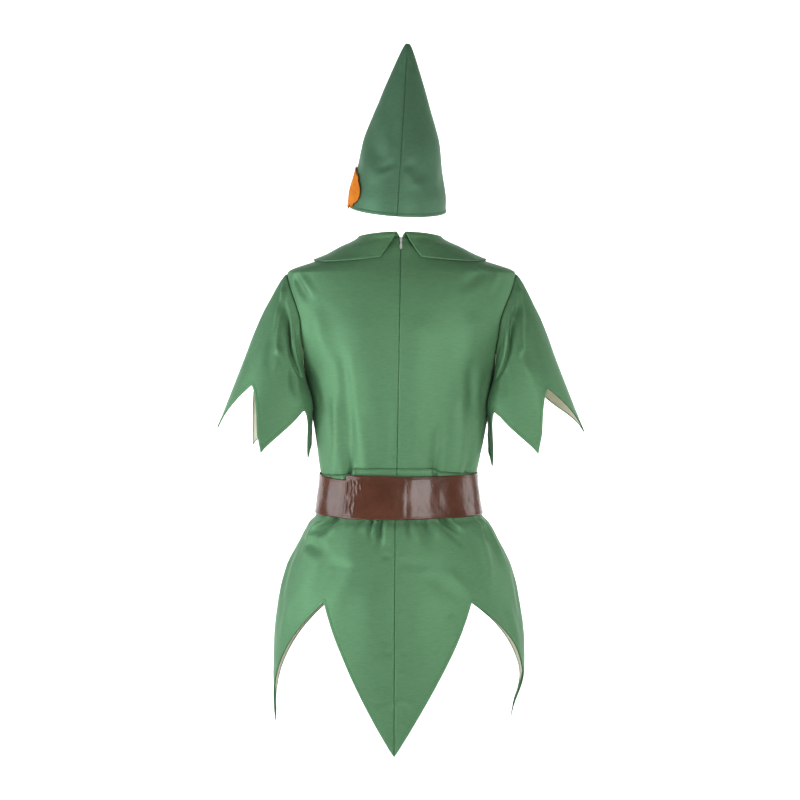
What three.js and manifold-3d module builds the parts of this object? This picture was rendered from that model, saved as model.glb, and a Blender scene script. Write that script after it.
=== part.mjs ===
// An elf costume as it is worn with nobody in it: a tunic with a zipped back, a wide belt and a pointed hat.
// Millimetres, +Z up. The wearer faces +Y, so the back is towards -Y and the wearer's left side is -X.
// The origin is the middle of the neck opening, level with the inner ends of the shoulder seams.

import * as THREE from "three";
import { mergeVertices } from "three/addons/utils/BufferGeometryUtils.js";
import Module from "manifold-3d";

const manifold = await Module();
manifold.setup();

// Cloth and belt
const CLOTH = 1.6; // satin with its fused backing
const COLLAR_CLOTH = 1.8; // two layers, turned and pressed
const BELT_CLOTH = 2.2; // coated fabric on a foam backing
const LEAF_FELT = 2;
const TAPE_CLOTH = 1;
const SEAM_GAP = 0.3; // between two pieces that are sewn together

// Heights of the tunic, from the neck
const NECK = { back: 8, side: 0, front: -70 };
const WAIST = { back: -414, side: -428, front: -422 };
const SHOULDER = -57;
const UNDERARM = -240;
const BELT_TOP = -427;
const BELT_BOTTOM = -503;
const ZIP_END = -600;

// The tunic's rings: half its width, how far it reaches back and front, its middle's shift sideways, and how much
// further the centre back seam is shifted.
const BODICE_RINGS = [
  { z: 14, half: 56, back: 60, front: 36, shift: 0, seam: 1.9 },
  { z: 0, half: 74, back: 67, front: 40, shift: 0, seam: 1.7 },
  { z: -11.5, half: 107, back: 75, front: 47, shift: 0.5, seam: 1 },
  { z: -28.5, half: 142, back: 83, front: 53, shift: 1, seam: 0.2 },
  { z: -57, half: 212, back: 97, front: 64, shift: 2.5, seam: -1.8 },
  { z: -82, half: 212, back: 106, front: 75, shift: 2.5, seam: -2.1 },
  { z: -120, half: 210, back: 115, front: 88, shift: 1.5, seam: -1.8 },
  { z: -165, half: 204, back: 121, front: 101, shift: 0, seam: -1.1 },
  { z: -205, half: 190, back: 122, front: 110, shift: -1, seam: -0.8 },
  { z: -240, half: 177, back: 120, front: 115, shift: -0.5, seam: -1.8 },
  { z: -300, half: 167, back: 114, front: 114, shift: 0.5, seam: -3.8 },
  { z: -360, half: 157, back: 107, front: 108, shift: 0, seam: -4.3 },
  { z: -410, half: 148.5, back: 101, front: 103, shift: -2, seam: -3.2 },
  { z: -432, half: 144.5, back: 98, front: 101, shift: -2.5, seam: -3 },
];
const SKIRT_RINGS = [
  { z: -405, half: 149.5, back: 102, front: 104, shift: -2, seam: -3.2 },
  { z: -432, half: 144.5, back: 98, front: 101, shift: -2.5, seam: -3 },
  { z: -470, half: 148.5, back: 101, front: 104, shift: -2.5, seam: -4.5 },
  { z: -500, half: 153.5, back: 106, front: 108, shift: -2, seam: -6 },
  { z: -508, half: 156, back: 108, front: 110, shift: -2, seam: -6.6 },
  { z: -517, half: 166, back: 116, front: 118, shift: -2, seam: -7 },
  { z: -530, half: 174, back: 122, front: 124, shift: -1.5, seam: -7.4 },
  { z: -552, half: 185.5, back: 130, front: 132, shift: -1.5, seam: -7.5 },
  { z: -600, half: 209.5, back: 145, front: 147, shift: -2, seam: -7.2 },
  { z: -652, half: 223, back: 158, front: 158, shift: -2.5, seam: -6.9 },
  { z: -738, half: 234, back: 166, front: 166, shift: -1.5, seam: -8.2 },
  { z: -800, half: 235, back: 168, front: 167, shift: -2, seam: -8.2 },
  { z: -930, half: 230, back: 164, front: 163, shift: -2.5, seam: -8.1 },
];

// The hem's points, by the angle from the centre back. A bow over 1 fills a point out, and under 1 hollows it.
const HEM_NOTCH = { angle: 37, z: -652 };
const HEM_POINTS = {
  back: { z: -925, bow: 1.08 },
  right: { z: -883, bow: 0.6 },
  left: { z: -893, bow: 0.72 },
  front: { z: -914, bow: 1.06 },
};

// Soft folds. Each starts at full depth at one height and angle and dies away at the other; a trough's depth is negative.
const BODICE_FOLDS = [
  { from: -432, to: -230, angle: -40, toAngle: -29, width: 15, depth: -7 },
  { from: -432, to: -340, angle: -55, toAngle: -52, width: 11, depth: 4 },
  { from: -432, to: -250, angle: -23, toAngle: -17, width: 12, depth: 4 },
  { from: -432, to: -380, angle: -13, toAngle: -12, width: 9, depth: -3 },
  { from: -432, to: -360, angle: 27, toAngle: 25, width: 10, depth: -5 },
  { from: -432, to: -270, angle: 49, toAngle: 42, width: 11, depth: 5 },
  { from: -432, to: -340, angle: 60, toAngle: 58, width: 10, depth: -5 },
  { from: -432, to: -300, angle: 140, toAngle: 144, width: 14, depth: -6 },
  { from: -432, to: -320, angle: 156, toAngle: 158, width: 11, depth: 4 },
  { from: -432, to: -310, angle: -142, toAngle: -145, width: 14, depth: -6 },
  { from: -432, to: -330, angle: -158, toAngle: -160, width: 11, depth: 4 },
];
const SKIRT_FOLDS = [
  { from: -517, to: -552, angle: -47, toAngle: -62, width: 9, depth: -8 },
  { from: -517, to: -570, angle: -15, toAngle: -13, width: 8, depth: -6 },
  { from: -590, to: -680, angle: -29, toAngle: -40, width: 17, depth: -6 },
  { from: -517, to: -560, angle: 21, toAngle: 22, width: 9, depth: -5 },
  { from: -517, to: -560, angle: 31, toAngle: 40, width: 8, depth: -6 },
  { from: -517, to: -680, angle: 60, toAngle: 42, width: 14, depth: 5 },
  { from: -530, to: -640, angle: 71, toAngle: 60, width: 15, depth: -7 },
  { from: -517, to: -620, angle: -66, toAngle: -60, width: 14, depth: 5 },
  { from: -517, to: -640, angle: 150, toAngle: 146, width: 15, depth: -8 },
  { from: -517, to: -600, angle: 166, toAngle: 166, width: 11, depth: 5 },
  { from: -517, to: -640, angle: -150, toAngle: -145, width: 15, depth: -8 },
  { from: -517, to: -600, angle: -168, toAngle: -168, width: 11, depth: -6 },
  { from: -883, to: -790, angle: 90, toAngle: 90, width: 90, depth: -20 },
];
const FOLD_LEAD = 9; // a fold comes up to full depth within this much past its strong end

// Sleeves. Angles go round the arm: 0 over it, 90 at the back, 180 under it, 270 in front.
const ARMHOLE_TURN = 28; // how far the armhole's sides stand from the side seam, as an angle of the tunic's ring
const CUFF = { x: 235, z: -276, half: 73, depth: 84, tilt: 24, bodySide: 1.13, clear: 3 };
const SLEEVE_STEP = 15;
const FLARE = { over: 21.5, under: 3, depth: 4 }; // how far the points lean out, in degrees
const SLEEVE_POINTS = {
  left: [
    { column: 15, angle: 5, reach: 102, bow: 1 },
    { column: 60, angle: 57, reach: 0, bow: 1.6 },
    { column: 105, angle: 97, reach: 106, bow: 0.8 },
    { column: 150, angle: 127, reach: 3, bow: 1 },
    { column: 195, angle: 173, reach: 88, bow: 1 },
    { column: 240, angle: 224, reach: 4, bow: 1 },
    { column: 285, angle: 278, reach: 114, bow: 1 },
    { column: 330, angle: 308, reach: 0, bow: 1 },
  ],
  right: [
    { column: 15, angle: 2, reach: 110, bow: 1 },
    { column: 60, angle: 60, reach: 5, bow: 1.6 },
    { column: 105, angle: 98, reach: 107, bow: 0.8 },
    { column: 150, angle: 129, reach: 3, bow: 1 },
    { column: 195, angle: 175, reach: 104, bow: 1 },
    { column: 240, angle: 222, reach: 4, bow: 1 },
    { column: 285, angle: 262, reach: 100, bow: 1 },
    { column: 330, angle: 296, reach: 20, bow: 0.7 },
  ],
};
const SLEEVE_FOLDS = [
  { angle: 62, toAngle: 122, share: 0.2, toShare: 0.42, width: 9, depth: -8 },
  { angle: 44, toAngle: 76, share: 0.1, toShare: 0.5, width: 8, depth: 5 },
  { angle: 298, toAngle: 238, share: 0.2, toShare: 0.42, width: 9, depth: -7 },
];

// Collar
const COLLAR = {
  stand: { back: 7.5, side: 9.5, front: 6 },
  fall: { back: 40, shoulder: 92, front: 74 },
  lift: 2.4, // between the fall and the tunic
  roll: 6, // how much further off the fall starts at its fold
  startAngles: { neck: 1.2, fold: 7.5, edge: 14.5 },
  endAngles: { neck: 1.2, fold: 5, edge: 9 },
};

// Belt: it starts under itself, goes round to the wearer's left and front, and ends on top at the left of the back.
const BELT = { start: 7, end: -400, lift: 1.6, step: 9, rise: 26 };

// Hat, in its own frame: the rim's middle is its origin, and it leans.
const HAT = { x: -4.8, z: 61.5, leanSide: 3.6, leanBack: 10.5 };
const HAT_RINGS = [
  { z: 0, half: 90, depth: 103, point: 2 },
  { z: 24, half: 89, depth: 101, point: 2 },
  { z: 56, half: 82.5, depth: 95, point: 1.95 },
  { z: 80, half: 77.5, depth: 90, point: 1.9 },
  { z: 104, half: 74, depth: 84, point: 1.85 },
  { z: 126, half: 70, depth: 77, point: 1.8 },
  { z: 156, half: 60.5, depth: 66, point: 1.75 },
  { z: 186, half: 49.5, depth: 54, point: 1.7 },
  { z: 214, half: 40, depth: 43, point: 1.7 },
  { z: 253, half: 25.5, depth: 27, point: 1.75 },
  { z: 285, half: 13, depth: 13.5, point: 1.9 },
  { z: 298, half: 7, depth: 7, point: 2 },
  { z: 303, half: 3.4, depth: 3.4, point: 2 },
];
const LEAF = { tip: -52, base: -134, middle: 38, tipHeight: 36, baseHeight: 34, half: 38 };

const ZIP = {
  z: 2.5, // the slider's middle, on the centre back seam
  lean: 32, // the seam's slope there
  body: [4.6, 1.8, 8], // across, out and along
  clear: 0.8,
  axisOut: 1.5, // the tab's axis, out from the slider's face
  archInner: 1.1,
  archOuter: 1.9,
  archWidth: 1.3,
  tabLength: 21,
  tabHalf: 2.6,
  tabThick: 0.9,
  tabBar: 0.6,
  holeHalf: 1.05,
  holeEnd: 2.4,
  tabTilt: 4, // the tab hangs this much closer to the cloth than the seam's slope
};

const SATIN = new THREE.MeshStandardMaterial({ color: 0x4f8360, roughness: 0.5, metalness: 0 });
const COATED = new THREE.MeshStandardMaterial({ color: 0x54372b, roughness: 0.3, metalness: 0 });
const FELT = new THREE.MeshStandardMaterial({ color: 0xc96f24, roughness: 0.95, metalness: 0 });
const TAPE = new THREE.MeshStandardMaterial({ color: 0x2f5a40, roughness: 0.85, metalness: 0 });
const NICKEL = new THREE.MeshStandardMaterial({ color: 0xc9cccf, roughness: 0.3, metalness: 1 });

const radians = THREE.MathUtils.degToRad;
const mix = THREE.MathUtils.lerp;
const smooth = (low, high, value) => THREE.MathUtils.smoothstep(value, low, high);
const vector = (x, y, z) => new THREE.Vector3(x, y, z);
const sideOf = (name) => (name === "left" ? -1 : 1);

// One column of a table at a height, on a smooth curve through the rows, which go down or up in z.
function tableAt(rows, z, column) {
  const down = rows[0].z > rows[rows.length - 1].z;
  const ordered = down ? [...rows].reverse() : rows;
  const last = ordered.length - 1;
  if (z <= ordered[0].z) return ordered[0][column];
  if (z >= ordered[last].z) return ordered[last][column];
  const i = ordered.findIndex((row) => row.z > z) - 1;
  const slope = (a, b) => (ordered[b][column] - ordered[a][column]) / (ordered[b].z - ordered[a].z);
  const tangent = (k) => {
    if (k === 0 || k === last) return slope(Math.max(k - 1, 0), Math.min(k + 1, last));
    const before = slope(k - 1, k);
    const after = slope(k, k + 1);
    return before * after <= 0 ? 0 : (2 * before * after) / (before + after);
  };
  const span = ordered[i + 1].z - ordered[i].z;
  const t = (z - ordered[i].z) / span;
  const t2 = t * t;
  const t3 = t2 * t;
  return (
    (2 * t3 - 3 * t2 + 1) * ordered[i][column] +
    (t3 - 2 * t2 + t) * span * tangent(i) +
    (3 * t2 - 2 * t3) * ordered[i + 1][column] +
    (t3 - t2) * span * tangent(i + 1)
  );
}

// Folds of a ringed form at an angle and height, as a push outwards. `reach` turns an angle into a length.
function foldPush(folds, angle, z, reach) {
  let push = 0;
  for (const fold of folds) {
    const share = (z - fold.from) / (fold.to - fold.from);
    if (share > 1) continue;
    const past = Math.max(0, -share) * Math.abs(fold.to - fold.from);
    const strength = share < 0 ? 1 - smooth(0, FOLD_LEAD, past) : 1 - smooth(0, 1, share);
    const middle = mix(fold.angle, fold.toAngle, THREE.MathUtils.clamp(share, 0, 1));
    const turn = THREE.MathUtils.euclideanModulo(angle - middle + 180, 360) - 180;
    const off = (radians(turn) * reach) / fold.width;
    push += fold.depth * strength * Math.exp(-off * off);
  }
  return push;
}

// A point on a ringed form. Angle 0 is the centre back, 90 the wearer's right side and 180 the centre front.
function ringPoint(rings, folds, angle, z) {
  const half = tableAt(rings, z, "half");
  const depth = tableAt(rings, z, Math.cos(radians(angle)) > 0 ? "back" : "front");
  const sine = Math.sin(radians(angle));
  const cosine = Math.cos(radians(angle));
  const out = vector(sine / half, -cosine / depth, 0).normalize();
  const seam = tableAt(rings, z, "seam") * Math.max(0, cosine) ** 6;
  const middle = vector(tableAt(rings, z, "shift") + seam, 0, z);
  const push = foldPush(folds, angle, z, (half + depth) / 2);
  return middle.add(vector(half * sine, -depth * cosine, 0)).addScaledVector(out, push);
}

const bodiceForm = (angle, z) => ringPoint(BODICE_RINGS, BODICE_FOLDS, angle, z);
const skirtForm = (angle, z) => ringPoint(SKIRT_RINGS, SKIRT_FOLDS, angle, z);

// The outward normal of a form, and its direction of growing angle.
function frameOf(form, angle, z) {
  const along = form(angle + 0.5, z).sub(form(angle - 0.5, z)).normalize();
  const up = form(angle, z + 0.5).sub(form(angle, z - 0.5)).normalize();
  return { along, up, normal: along.clone().cross(up).normalize() };
}

// A closed wall from rows of points with an outer and an inner place each. `loop` joins the last column to the first.
function wallGeometry(grid, loop = false) {
  const rows = grid.length;
  const columns = grid[0].length;
  const layer = rows * columns;
  const positions = [];
  for (const face of ["outer", "inner"])
    for (const row of grid) for (const spot of row) positions.push(...spot[face].toArray());
  const index = [];
  const quad = (a, b, c, d) => index.push(a, b, c, a, c, d);
  const at = (r, c) => r * columns + (c % columns);
  const lastColumn = loop ? columns : columns - 1;
  for (let r = 0; r < rows - 1; r++)
    for (let c = 0; c < lastColumn; c++) {
      quad(at(r, c), at(r, c + 1), at(r + 1, c + 1), at(r + 1, c));
      quad(layer + at(r, c), layer + at(r + 1, c), layer + at(r + 1, c + 1), layer + at(r, c + 1));
    }
  for (let c = 0; c < lastColumn; c++)
    for (const [r, flip] of [[0, false], [rows - 1, true]]) {
      const edge = [at(r, c), layer + at(r, c), layer + at(r, c + 1), at(r, c + 1)];
      quad(...(flip ? edge.reverse() : edge));
    }
  for (let r = 0; r < rows - 1 && !loop; r++)
    for (const [c, flip] of [[0, true], [columns - 1, false]]) {
      const edge = [at(r, c), layer + at(r, c), layer + at(r + 1, c), at(r + 1, c)];
      quad(...(flip ? edge.reverse() : edge));
    }
  const geometry = new THREE.BufferGeometry();
  geometry.setAttribute("position", new THREE.Float32BufferAttribute(positions, 3));
  geometry.setIndex(signedVolume(positions, index) < 0 ? index.reverse() : index);
  geometry.computeVertexNormals();
  return geometry;
}

function signedVolume(positions, index) {
  const corner = (i) => vector(...positions.slice(3 * i, 3 * i + 3));
  let six = 0;
  for (let i = 0; i < index.length; i += 3)
    six += corner(index[i]).dot(corner(index[i + 1]).cross(corner(index[i + 2])));
  return six / 6;
}

// A spot of a wall: a point of a form, moved in from its seams, with the inner face one thickness behind it.
function formSpot(form, angle, z, thickness, { across = 0, lift = 0 } = {}) {
  const { along, normal } = frameOf(form, angle, z);
  const outer = form(angle, z).addScaledVector(along, across).addScaledVector(normal, lift);
  return { outer, inner: outer.clone().addScaledVector(normal, -thickness) };
}

const steps = (count) => Array.from({ length: count + 1 }, (_, i) => i / count);

// The armhole's place on the tunic's ring, by the angle round the arm.
function armholeSpot(side, armAngle) {
  const middle = (SHOULDER + UNDERARM) / 2;
  const reach = (SHOULDER - UNDERARM) / 2;
  const cosine = Math.cos(radians(armAngle));
  const sine = Math.sin(radians(armAngle));
  const narrow = 1 - 0.45 * Math.max(0, cosine) ** 1.5;
  return { angle: side * (90 - ARMHOLE_TURN * sine * narrow), z: middle + reach * cosine };
}

// Rows of a bodice panel's outer edge: along the shoulder seam, round the armhole, down the side seam.
function bodiceEdge(side, front) {
  const shoulder = [0, 1 / 3, 2 / 3].map((t) => ({ angle: side * 90, z: mix(NECK.side, SHOULDER, t) }));
  const armhole = steps(180 / SLEEVE_STEP).map((t) => armholeSpot(side, front ? 360 - 180 * t : 180 * t));
  const seam = steps(5).slice(1).map((t) => ({ angle: side * 90, z: mix(UNDERARM, WAIST.side, t) }));
  return [...shoulder, ...armhole, ...seam];
}

// How a row's height goes from the panel's middle, share 0, to its edge, share 1. The first row is the neckline.
const backRise = (share) => Math.sin((Math.PI / 2) * share) ** 2;
const frontRise = (share) => 1 - (1 - share ** 1.15) ** 2.9;

function middleHeights(edge, top, bottom) {
  const first = edge[0].z;
  const last = edge[edge.length - 1].z;
  return edge.map((spot, k) => {
    const byHeight = (first - spot.z) / (first - last);
    return mix(top, bottom, (byHeight + k / (edge.length - 1)) / 2);
  });
}

function waistHeight(angle) {
  const turn = Math.abs(angle);
  if (turn <= 90) return mix(WAIST.back, WAIST.side, backRise(turn / 90));
  return mix(WAIST.front, WAIST.side, frontRise((180 - turn) / 90));
}

function neckHeight(angle) {
  const turn = Math.abs(angle);
  if (turn <= 90) return mix(NECK.back, NECK.side, backRise(turn / 90));
  return mix(NECK.front, NECK.side, frontRise((180 - turn) / 90));
}

function bodiceBack(side) {
  const edge = bodiceEdge(side, false);
  const middle = middleHeights(edge, NECK.back, WAIST.back);
  const grid = edge.map((end, k) =>
    steps(12).map((share) => {
      const z = mix(middle[k], end.z, backRise(share));
      const seam = share === 0 ? side : share === 1 ? -side : 0;
      return formSpot(bodiceForm, end.angle * share, z, CLOTH, { across: (seam * SEAM_GAP) / 2 });
    }),
  );
  return wallGeometry(grid);
}

function bodiceFront() {
  const edges = { left: bodiceEdge(-1, true), right: bodiceEdge(1, true) };
  const middle = middleHeights(edges.left, NECK.front, WAIST.front);
  const halfRow = (name, k) =>
    steps(9).map((share) => {
      const side = sideOf(name);
      const end = edges[name][k];
      const angle = mix(side * 180, end.angle, share);
      const z = mix(middle[k], end.z, frontRise(share));
      const across = share === 1 ? (side * SEAM_GAP) / 2 : 0;
      return formSpot(bodiceForm, angle, z, CLOTH, { across });
    });
  const grid = middle.map((_, k) => [...halfRow("left", k).reverse(), ...halfRow("right", k).slice(1)]);
  return wallGeometry(grid);
}

// The hem's height round the skirt: four points with notches between them.
function hemHeight(angle) {
  const turn = Math.abs(angle);
  const rise = (point, share) => point.z + (HEM_NOTCH.z - point.z) * share ** point.bow;
  const side = angle < 0 ? HEM_POINTS.left : HEM_POINTS.right;
  const middle = turn < 90 ? HEM_POINTS.back : HEM_POINTS.front;
  const fromMiddle = turn < 90 ? turn : 180 - turn;
  if (fromMiddle < HEM_NOTCH.angle) return rise(middle, fromMiddle / HEM_NOTCH.angle);
  return rise(side, (90 - fromMiddle) / (90 - HEM_NOTCH.angle));
}

const SKIRT_LEVELS = [-440, -470, -500, -508, -517, -530, -552, -590, -635];
const FLAP_SHARES = [0.25, 0.5, 0.75, 1];

function skirtHeights(angle) {
  const above = SKIRT_LEVELS[SKIRT_LEVELS.length - 1];
  const flap = FLAP_SHARES.map((share) => mix(above, hemHeight(angle), share));
  return [waistHeight(angle) - SEAM_GAP, ...SKIRT_LEVELS, ...flap];
}

// Angles from the middle of the back or front to the side, close together towards the side's narrow point.
function skirtAngles() {
  const toNotch = steps(6).map((t) => HEM_NOTCH.angle * t);
  const toSide = steps(7).slice(1).map((t) => 90 - (90 - HEM_NOTCH.angle) * (1 - t) ** 1.5);
  return [...toNotch, ...toSide];
}

function skirtWall(angles, seams) {
  const columns = angles.map((angle) => skirtHeights(angle).map((z) => ({ angle, z })));
  const grid = columns[0].map((_, r) =>
    columns.map((column, c) => {
      const seam = c === 0 ? seams.first : c === columns.length - 1 ? seams.last : 0;
      const { angle, z } = column[r];
      return formSpot(skirtForm, angle, z, CLOTH, { across: (seam * SEAM_GAP) / 2 });
    }),
  );
  return wallGeometry(grid);
}

function skirtBack(side) {
  const angles = skirtAngles().map((angle) => side * angle);
  return skirtWall(angles, { first: side, last: -side });
}

function skirtFront() {
  const fromRight = skirtAngles().map((angle) => 180 - angle).reverse();
  const toLeft = skirtAngles().map((angle) => 180 + angle).slice(1);
  const angles = [...fromRight, ...toLeft].map((angle) => (angle > 180 ? angle - 360 : angle));
  return skirtWall(angles, { first: 1, last: -1 });
}

// Sleeve: lines run from the armhole to a tilted cuff ring at the notches, and past it into the points.
function sleeveLine(side, armAngle, cuffAngle) {
  const spot = armholeSpot(side, armAngle);
  const { along, up, normal } = frameOf(bodiceForm, spot.angle, spot.z);
  const intoHole = along
    .clone()
    .multiplyScalar(side * Math.sin(radians(armAngle)) ** 1)
    .addScaledVector(up, -Math.cos(radians(armAngle)))
    .normalize();
  const seam = bodiceForm(spot.angle, spot.z);
  const start = seam.clone().addScaledVector(normal, SEAM_GAP + 0.1).addScaledVector(intoHole, SEAM_GAP);
  const tilt = radians(CUFF.tilt);
  const cosine = Math.cos(radians(cuffAngle));
  const sine = Math.sin(radians(cuffAngle));
  const across = cosine > 0 ? cosine : CUFF.bodySide * Math.sin((Math.PI / 2) * cosine);
  const end = vector(
    side * (CUFF.x + CUFF.half * across * Math.cos(tilt)),
    -CUFF.depth * sine,
    CUFF.z + CUFF.half * across * Math.sin(tilt),
  );
  const over = ((1 + cosine) / 2) ** 0.3;
  const lean = radians(mix(FLARE.under, FLARE.over, over));
  const run = vector(side * Math.sin(lean), -sine * Math.tan(radians(FLARE.depth)), -Math.cos(lean));
  return { seam, intoHole, start, end, run: run.normalize(), over };
}

function sleeveCentre(side, share) {
  const top = vector(side * 190, -4, (SHOULDER + UNDERARM) / 2);
  return top.lerp(vector(side * CUFF.x, 0, CUFF.z), share);
}

function sleeveForm(side, armAngle, cuffAngle, share, reach) {
  const line = sleeveLine(side, armAngle, cuffAngle);
  const length = line.start.distanceTo(line.end);
  const cap = Math.max(0, Math.cos(radians(armAngle))) ** 2;
  const leave = line.end.clone().sub(line.start).normalize();
  leave.lerp(vector(side * 0.85, 0, -0.45), 0.75 * cap).normalize();
  const hermite = (p, m, q, n, t) =>
    p.clone().multiplyScalar(2 * t ** 3 - 3 * t ** 2 + 1)
      .addScaledVector(m, t ** 3 - 2 * t ** 2 + t)
      .addScaledVector(q, 3 * t ** 2 - 2 * t ** 3)
      .addScaledVector(n, t ** 3 - t ** 2);
  const gain = mix(1, 0.42, cap) * length;
  const point = hermite(
    line.start, leave.multiplyScalar(gain),
    line.end, line.run.clone().multiplyScalar(length),
    Math.min(share, 1),
  );
  if (share > 1) point.addScaledVector(line.run, reach * (share - 1));
  const outward = point.clone().sub(sleeveCentre(side, Math.min(share, 1)));
  outward.addScaledVector(line.run, -outward.dot(line.run)).normalize();
  point.addScaledVector(outward, sleeveFoldPush(armAngle, share));
  return besideTunic(side, point, smooth(0, 0.15, share));
}

// A sleeve's inner side lies against the tunic, a little off it.
function besideTunic(side, point, share) {
  const z = Math.min(point.z, UNDERARM);
  const half = tableAt(BODICE_RINGS, z, "half");
  const depth = tableAt(BODICE_RINGS, z, point.y < 0 ? "back" : "front");
  const off = Math.min(1, Math.abs(point.y) / depth);
  const middle = tableAt(BODICE_RINGS, z, "shift");
  const least = half * Math.sqrt(1 - off * off) + (CUFF.clear + CLOTH) * share;
  const away = side * (point.x - middle);
  return point.z < UNDERARM && away < least ? point.setX(middle + side * least) : point;
}

function sleeveFoldPush(armAngle, share) {
  let push = 0;
  for (const fold of SLEEVE_FOLDS) {
    const t = THREE.MathUtils.clamp(
      (armAngle - fold.angle) / (fold.toAngle - fold.angle), 0, 1);
    const middleShare = mix(fold.share, fold.toShare, t);
    const middleAngle = mix(fold.angle, fold.toAngle, t);
    const offShare = ((share - middleShare) * 190) / fold.width;
    const offAngle = (radians(armAngle - middleAngle) * 75) / (fold.width * 2);
    push += fold.depth * Math.exp(-offShare * offShare - offAngle * offAngle);
  }
  return push * smooth(0, 0.12, share);
}

// Between two of a sleeve's points and notches, the cuff angle and the reach go evenly.
function sleeveHem(points, column) {
  const place = THREE.MathUtils.euclideanModulo(column - points[0].column, 360) + points[0].column;
  const i = points.findLastIndex((point) => point.column <= place);
  const next = points[i + 1] ?? { ...points[0], column: points[0].column + 360, angle: points[0].angle + 360 };
  const t = (place - points[i].column) / (next.column - points[i].column);
  return { angle: mix(points[i].angle, next.angle, t), reach: mix(points[i].reach, next.reach, t ** points[i].bow) };
}

const SLEEVE_SHARES = [0, 0.1, 0.22, 0.36, 0.52, 0.7, 0.86, 1];
const POINT_SHARES = [0.5, 1];

function sleeve(name) {
  const side = sideOf(name);
  const columns = steps(360 / SLEEVE_STEP).slice(0, -1).map((t) => {
    const armAngle = 360 * t;
    const hem = sleeveHem(SLEEVE_POINTS[name], armAngle);
    const rows = [...SLEEVE_SHARES, ...POINT_SHARES.map((t) => 1 + t)];
    const place = (angle, share) => {
      const at = sleeveHem(SLEEVE_POINTS[name], angle);
      return sleeveForm(side, angle, at.angle, share, hem.reach + CUFF_MARGIN);
    };
    return rows.map((share) => {
      const outer = place(armAngle, share);
      const round = place(armAngle + 2, share).sub(place(armAngle - 2, share)).normalize();
      const lower = Math.max(share - 0.02, 0);
      const along = place(armAngle, share + 0.02).sub(place(armAngle, lower)).normalize();
      const normal = round.cross(along).normalize();
      if (normal.dot(outer.clone().sub(sleeveCentre(side, Math.min(share, 1)))) < 0) normal.negate();
      const inner = outer.clone().addScaledVector(normal, -CLOTH);
      if (share === 0) {
        const line = sleeveLine(side, armAngle, hem.angle);
        const into = inner.clone().sub(line.seam).dot(line.intoHole);
        inner.addScaledVector(line.intoHole, Math.max(0, SEAM_GAP - into));
      }
      return { outer, inner };
    });
  });
  const grid = columns[0].map((_, r) => columns.map((column) => column[r]));
  return wallGeometry(grid, true);
}
const CUFF_MARGIN = 2; // the notches are this far past the cuff ring

// Collar: a stand that rises from the neckline, rolls over and falls on the shoulders.
function byTurn(angle, { back, side, shoulder, front }) {
  const turn = Math.abs(angle);
  const atSide = side ?? shoulder;
  if (turn <= 90) return mix(back, atSide, smooth(0, 60, turn));
  return mix(atSide, front, smooth(100, 175, turn));
}

function collarProfile(angle) {
  const neckZ = neckHeight(angle);
  const neckline = (turn) => bodiceForm(turn, neckHeight(turn));
  const neck = neckline(angle);
  const round = neckline(angle + 1).sub(neckline(angle - 1)).setZ(0).normalize();
  const away = vector(round.y, -round.x, 0);
  const stand = byTurn(angle, COLLAR.stand);
  const fall = byTurn(angle, COLLAR.fall);
  const from = (out, up) => neck.clone().addScaledVector(away, out).add(vector(0, 0, up));
  const points = [from(-COLLAR_CLOTH - 1.2, 0.8), from(-COLLAR_CLOTH - 1, stand * 0.55), from(-0.8, stand)];
  let z = neckZ;
  let walked = 0;
  let spot = bodiceForm(angle, z);
  const lifted = (w) => {
    const extra = COLLAR.roll * Math.exp(-w / 26);
    const { normal } = frameOf(bodiceForm, angle, z);
    return spot.clone().addScaledVector(normal, COLLAR.lift + COLLAR_CLOTH + extra);
  };
  const first = lifted(0);
  points.push(from(2.4, stand + 2.6), first);
  for (const stop of [0.14, 0.4, 0.7, 1]) {
    while (walked < stop * fall) {
      const next = bodiceForm(angle, z - 0.5);
      walked += next.distanceTo(spot);
      spot = next;
      z -= 0.5;
    }
    points.push(lifted(walked));
  }
  return new THREE.CatmullRomCurve3(points, false, "centripetal");
}

// The place down the profile at which the collar folds, as a share of its control points.
const FOLD_AT = 3 / 8;
const COLLAR_ROWS = [0, 0.13, 0.25, 0.32, 0.38, 0.44, 0.51, 0.58, 0.66, 0.74, 0.82, 0.91, 1];

function collarEnd(angles, v) {
  if (v < FOLD_AT) return mix(angles.neck, angles.fold, v / FOLD_AT);
  return mix(angles.fold, angles.edge, (v - FOLD_AT) / (1 - FOLD_AT));
}

function collar(side) {
  const place = (u, v) => {
    const first = collarEnd(COLLAR.startAngles, v);
    const last = 180 - collarEnd(COLLAR.endAngles, v);
    return collarProfile(side * mix(first, last, u)).getPoint(v);
  };
  const nudge = 0.01;
  const grid = COLLAR_ROWS.map((v) =>
    steps(18).map((u) => {
      const outer = place(u, v);
      const round = place(Math.min(u + nudge, 1), v).sub(place(Math.max(u - nudge, 0), v));
      const across = place(u, Math.min(v + nudge, 1)).sub(place(u, Math.max(v - nudge, 0)));
      const normal = round.cross(across).normalize().multiplyScalar(-side);
      return { outer, inner: outer.clone().addScaledVector(normal, -COLLAR_CLOTH) };
    }),
  );
  return wallGeometry(grid);
}

// Belt: one strip round the waist whose free end lies on its start.
function beltForm(sweep, z) {
  const smoothSkirt = (angle, height) => ringPoint(SKIRT_RINGS, [], angle, height);
  const { normal } = frameOf(smoothSkirt, sweep, z);
  const flat = normal.setZ(normal.z * 0.3).normalize();
  const overStart = BELT.start - 360;
  const step = BELT_CLOTH + SEAM_GAP + 0.2;
  const up = smooth(0, 1, (overStart + BELT.rise - sweep) / BELT.rise);
  return smoothSkirt(sweep, z).addScaledVector(flat, BELT.lift + BELT_CLOTH + step * up);
}

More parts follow.
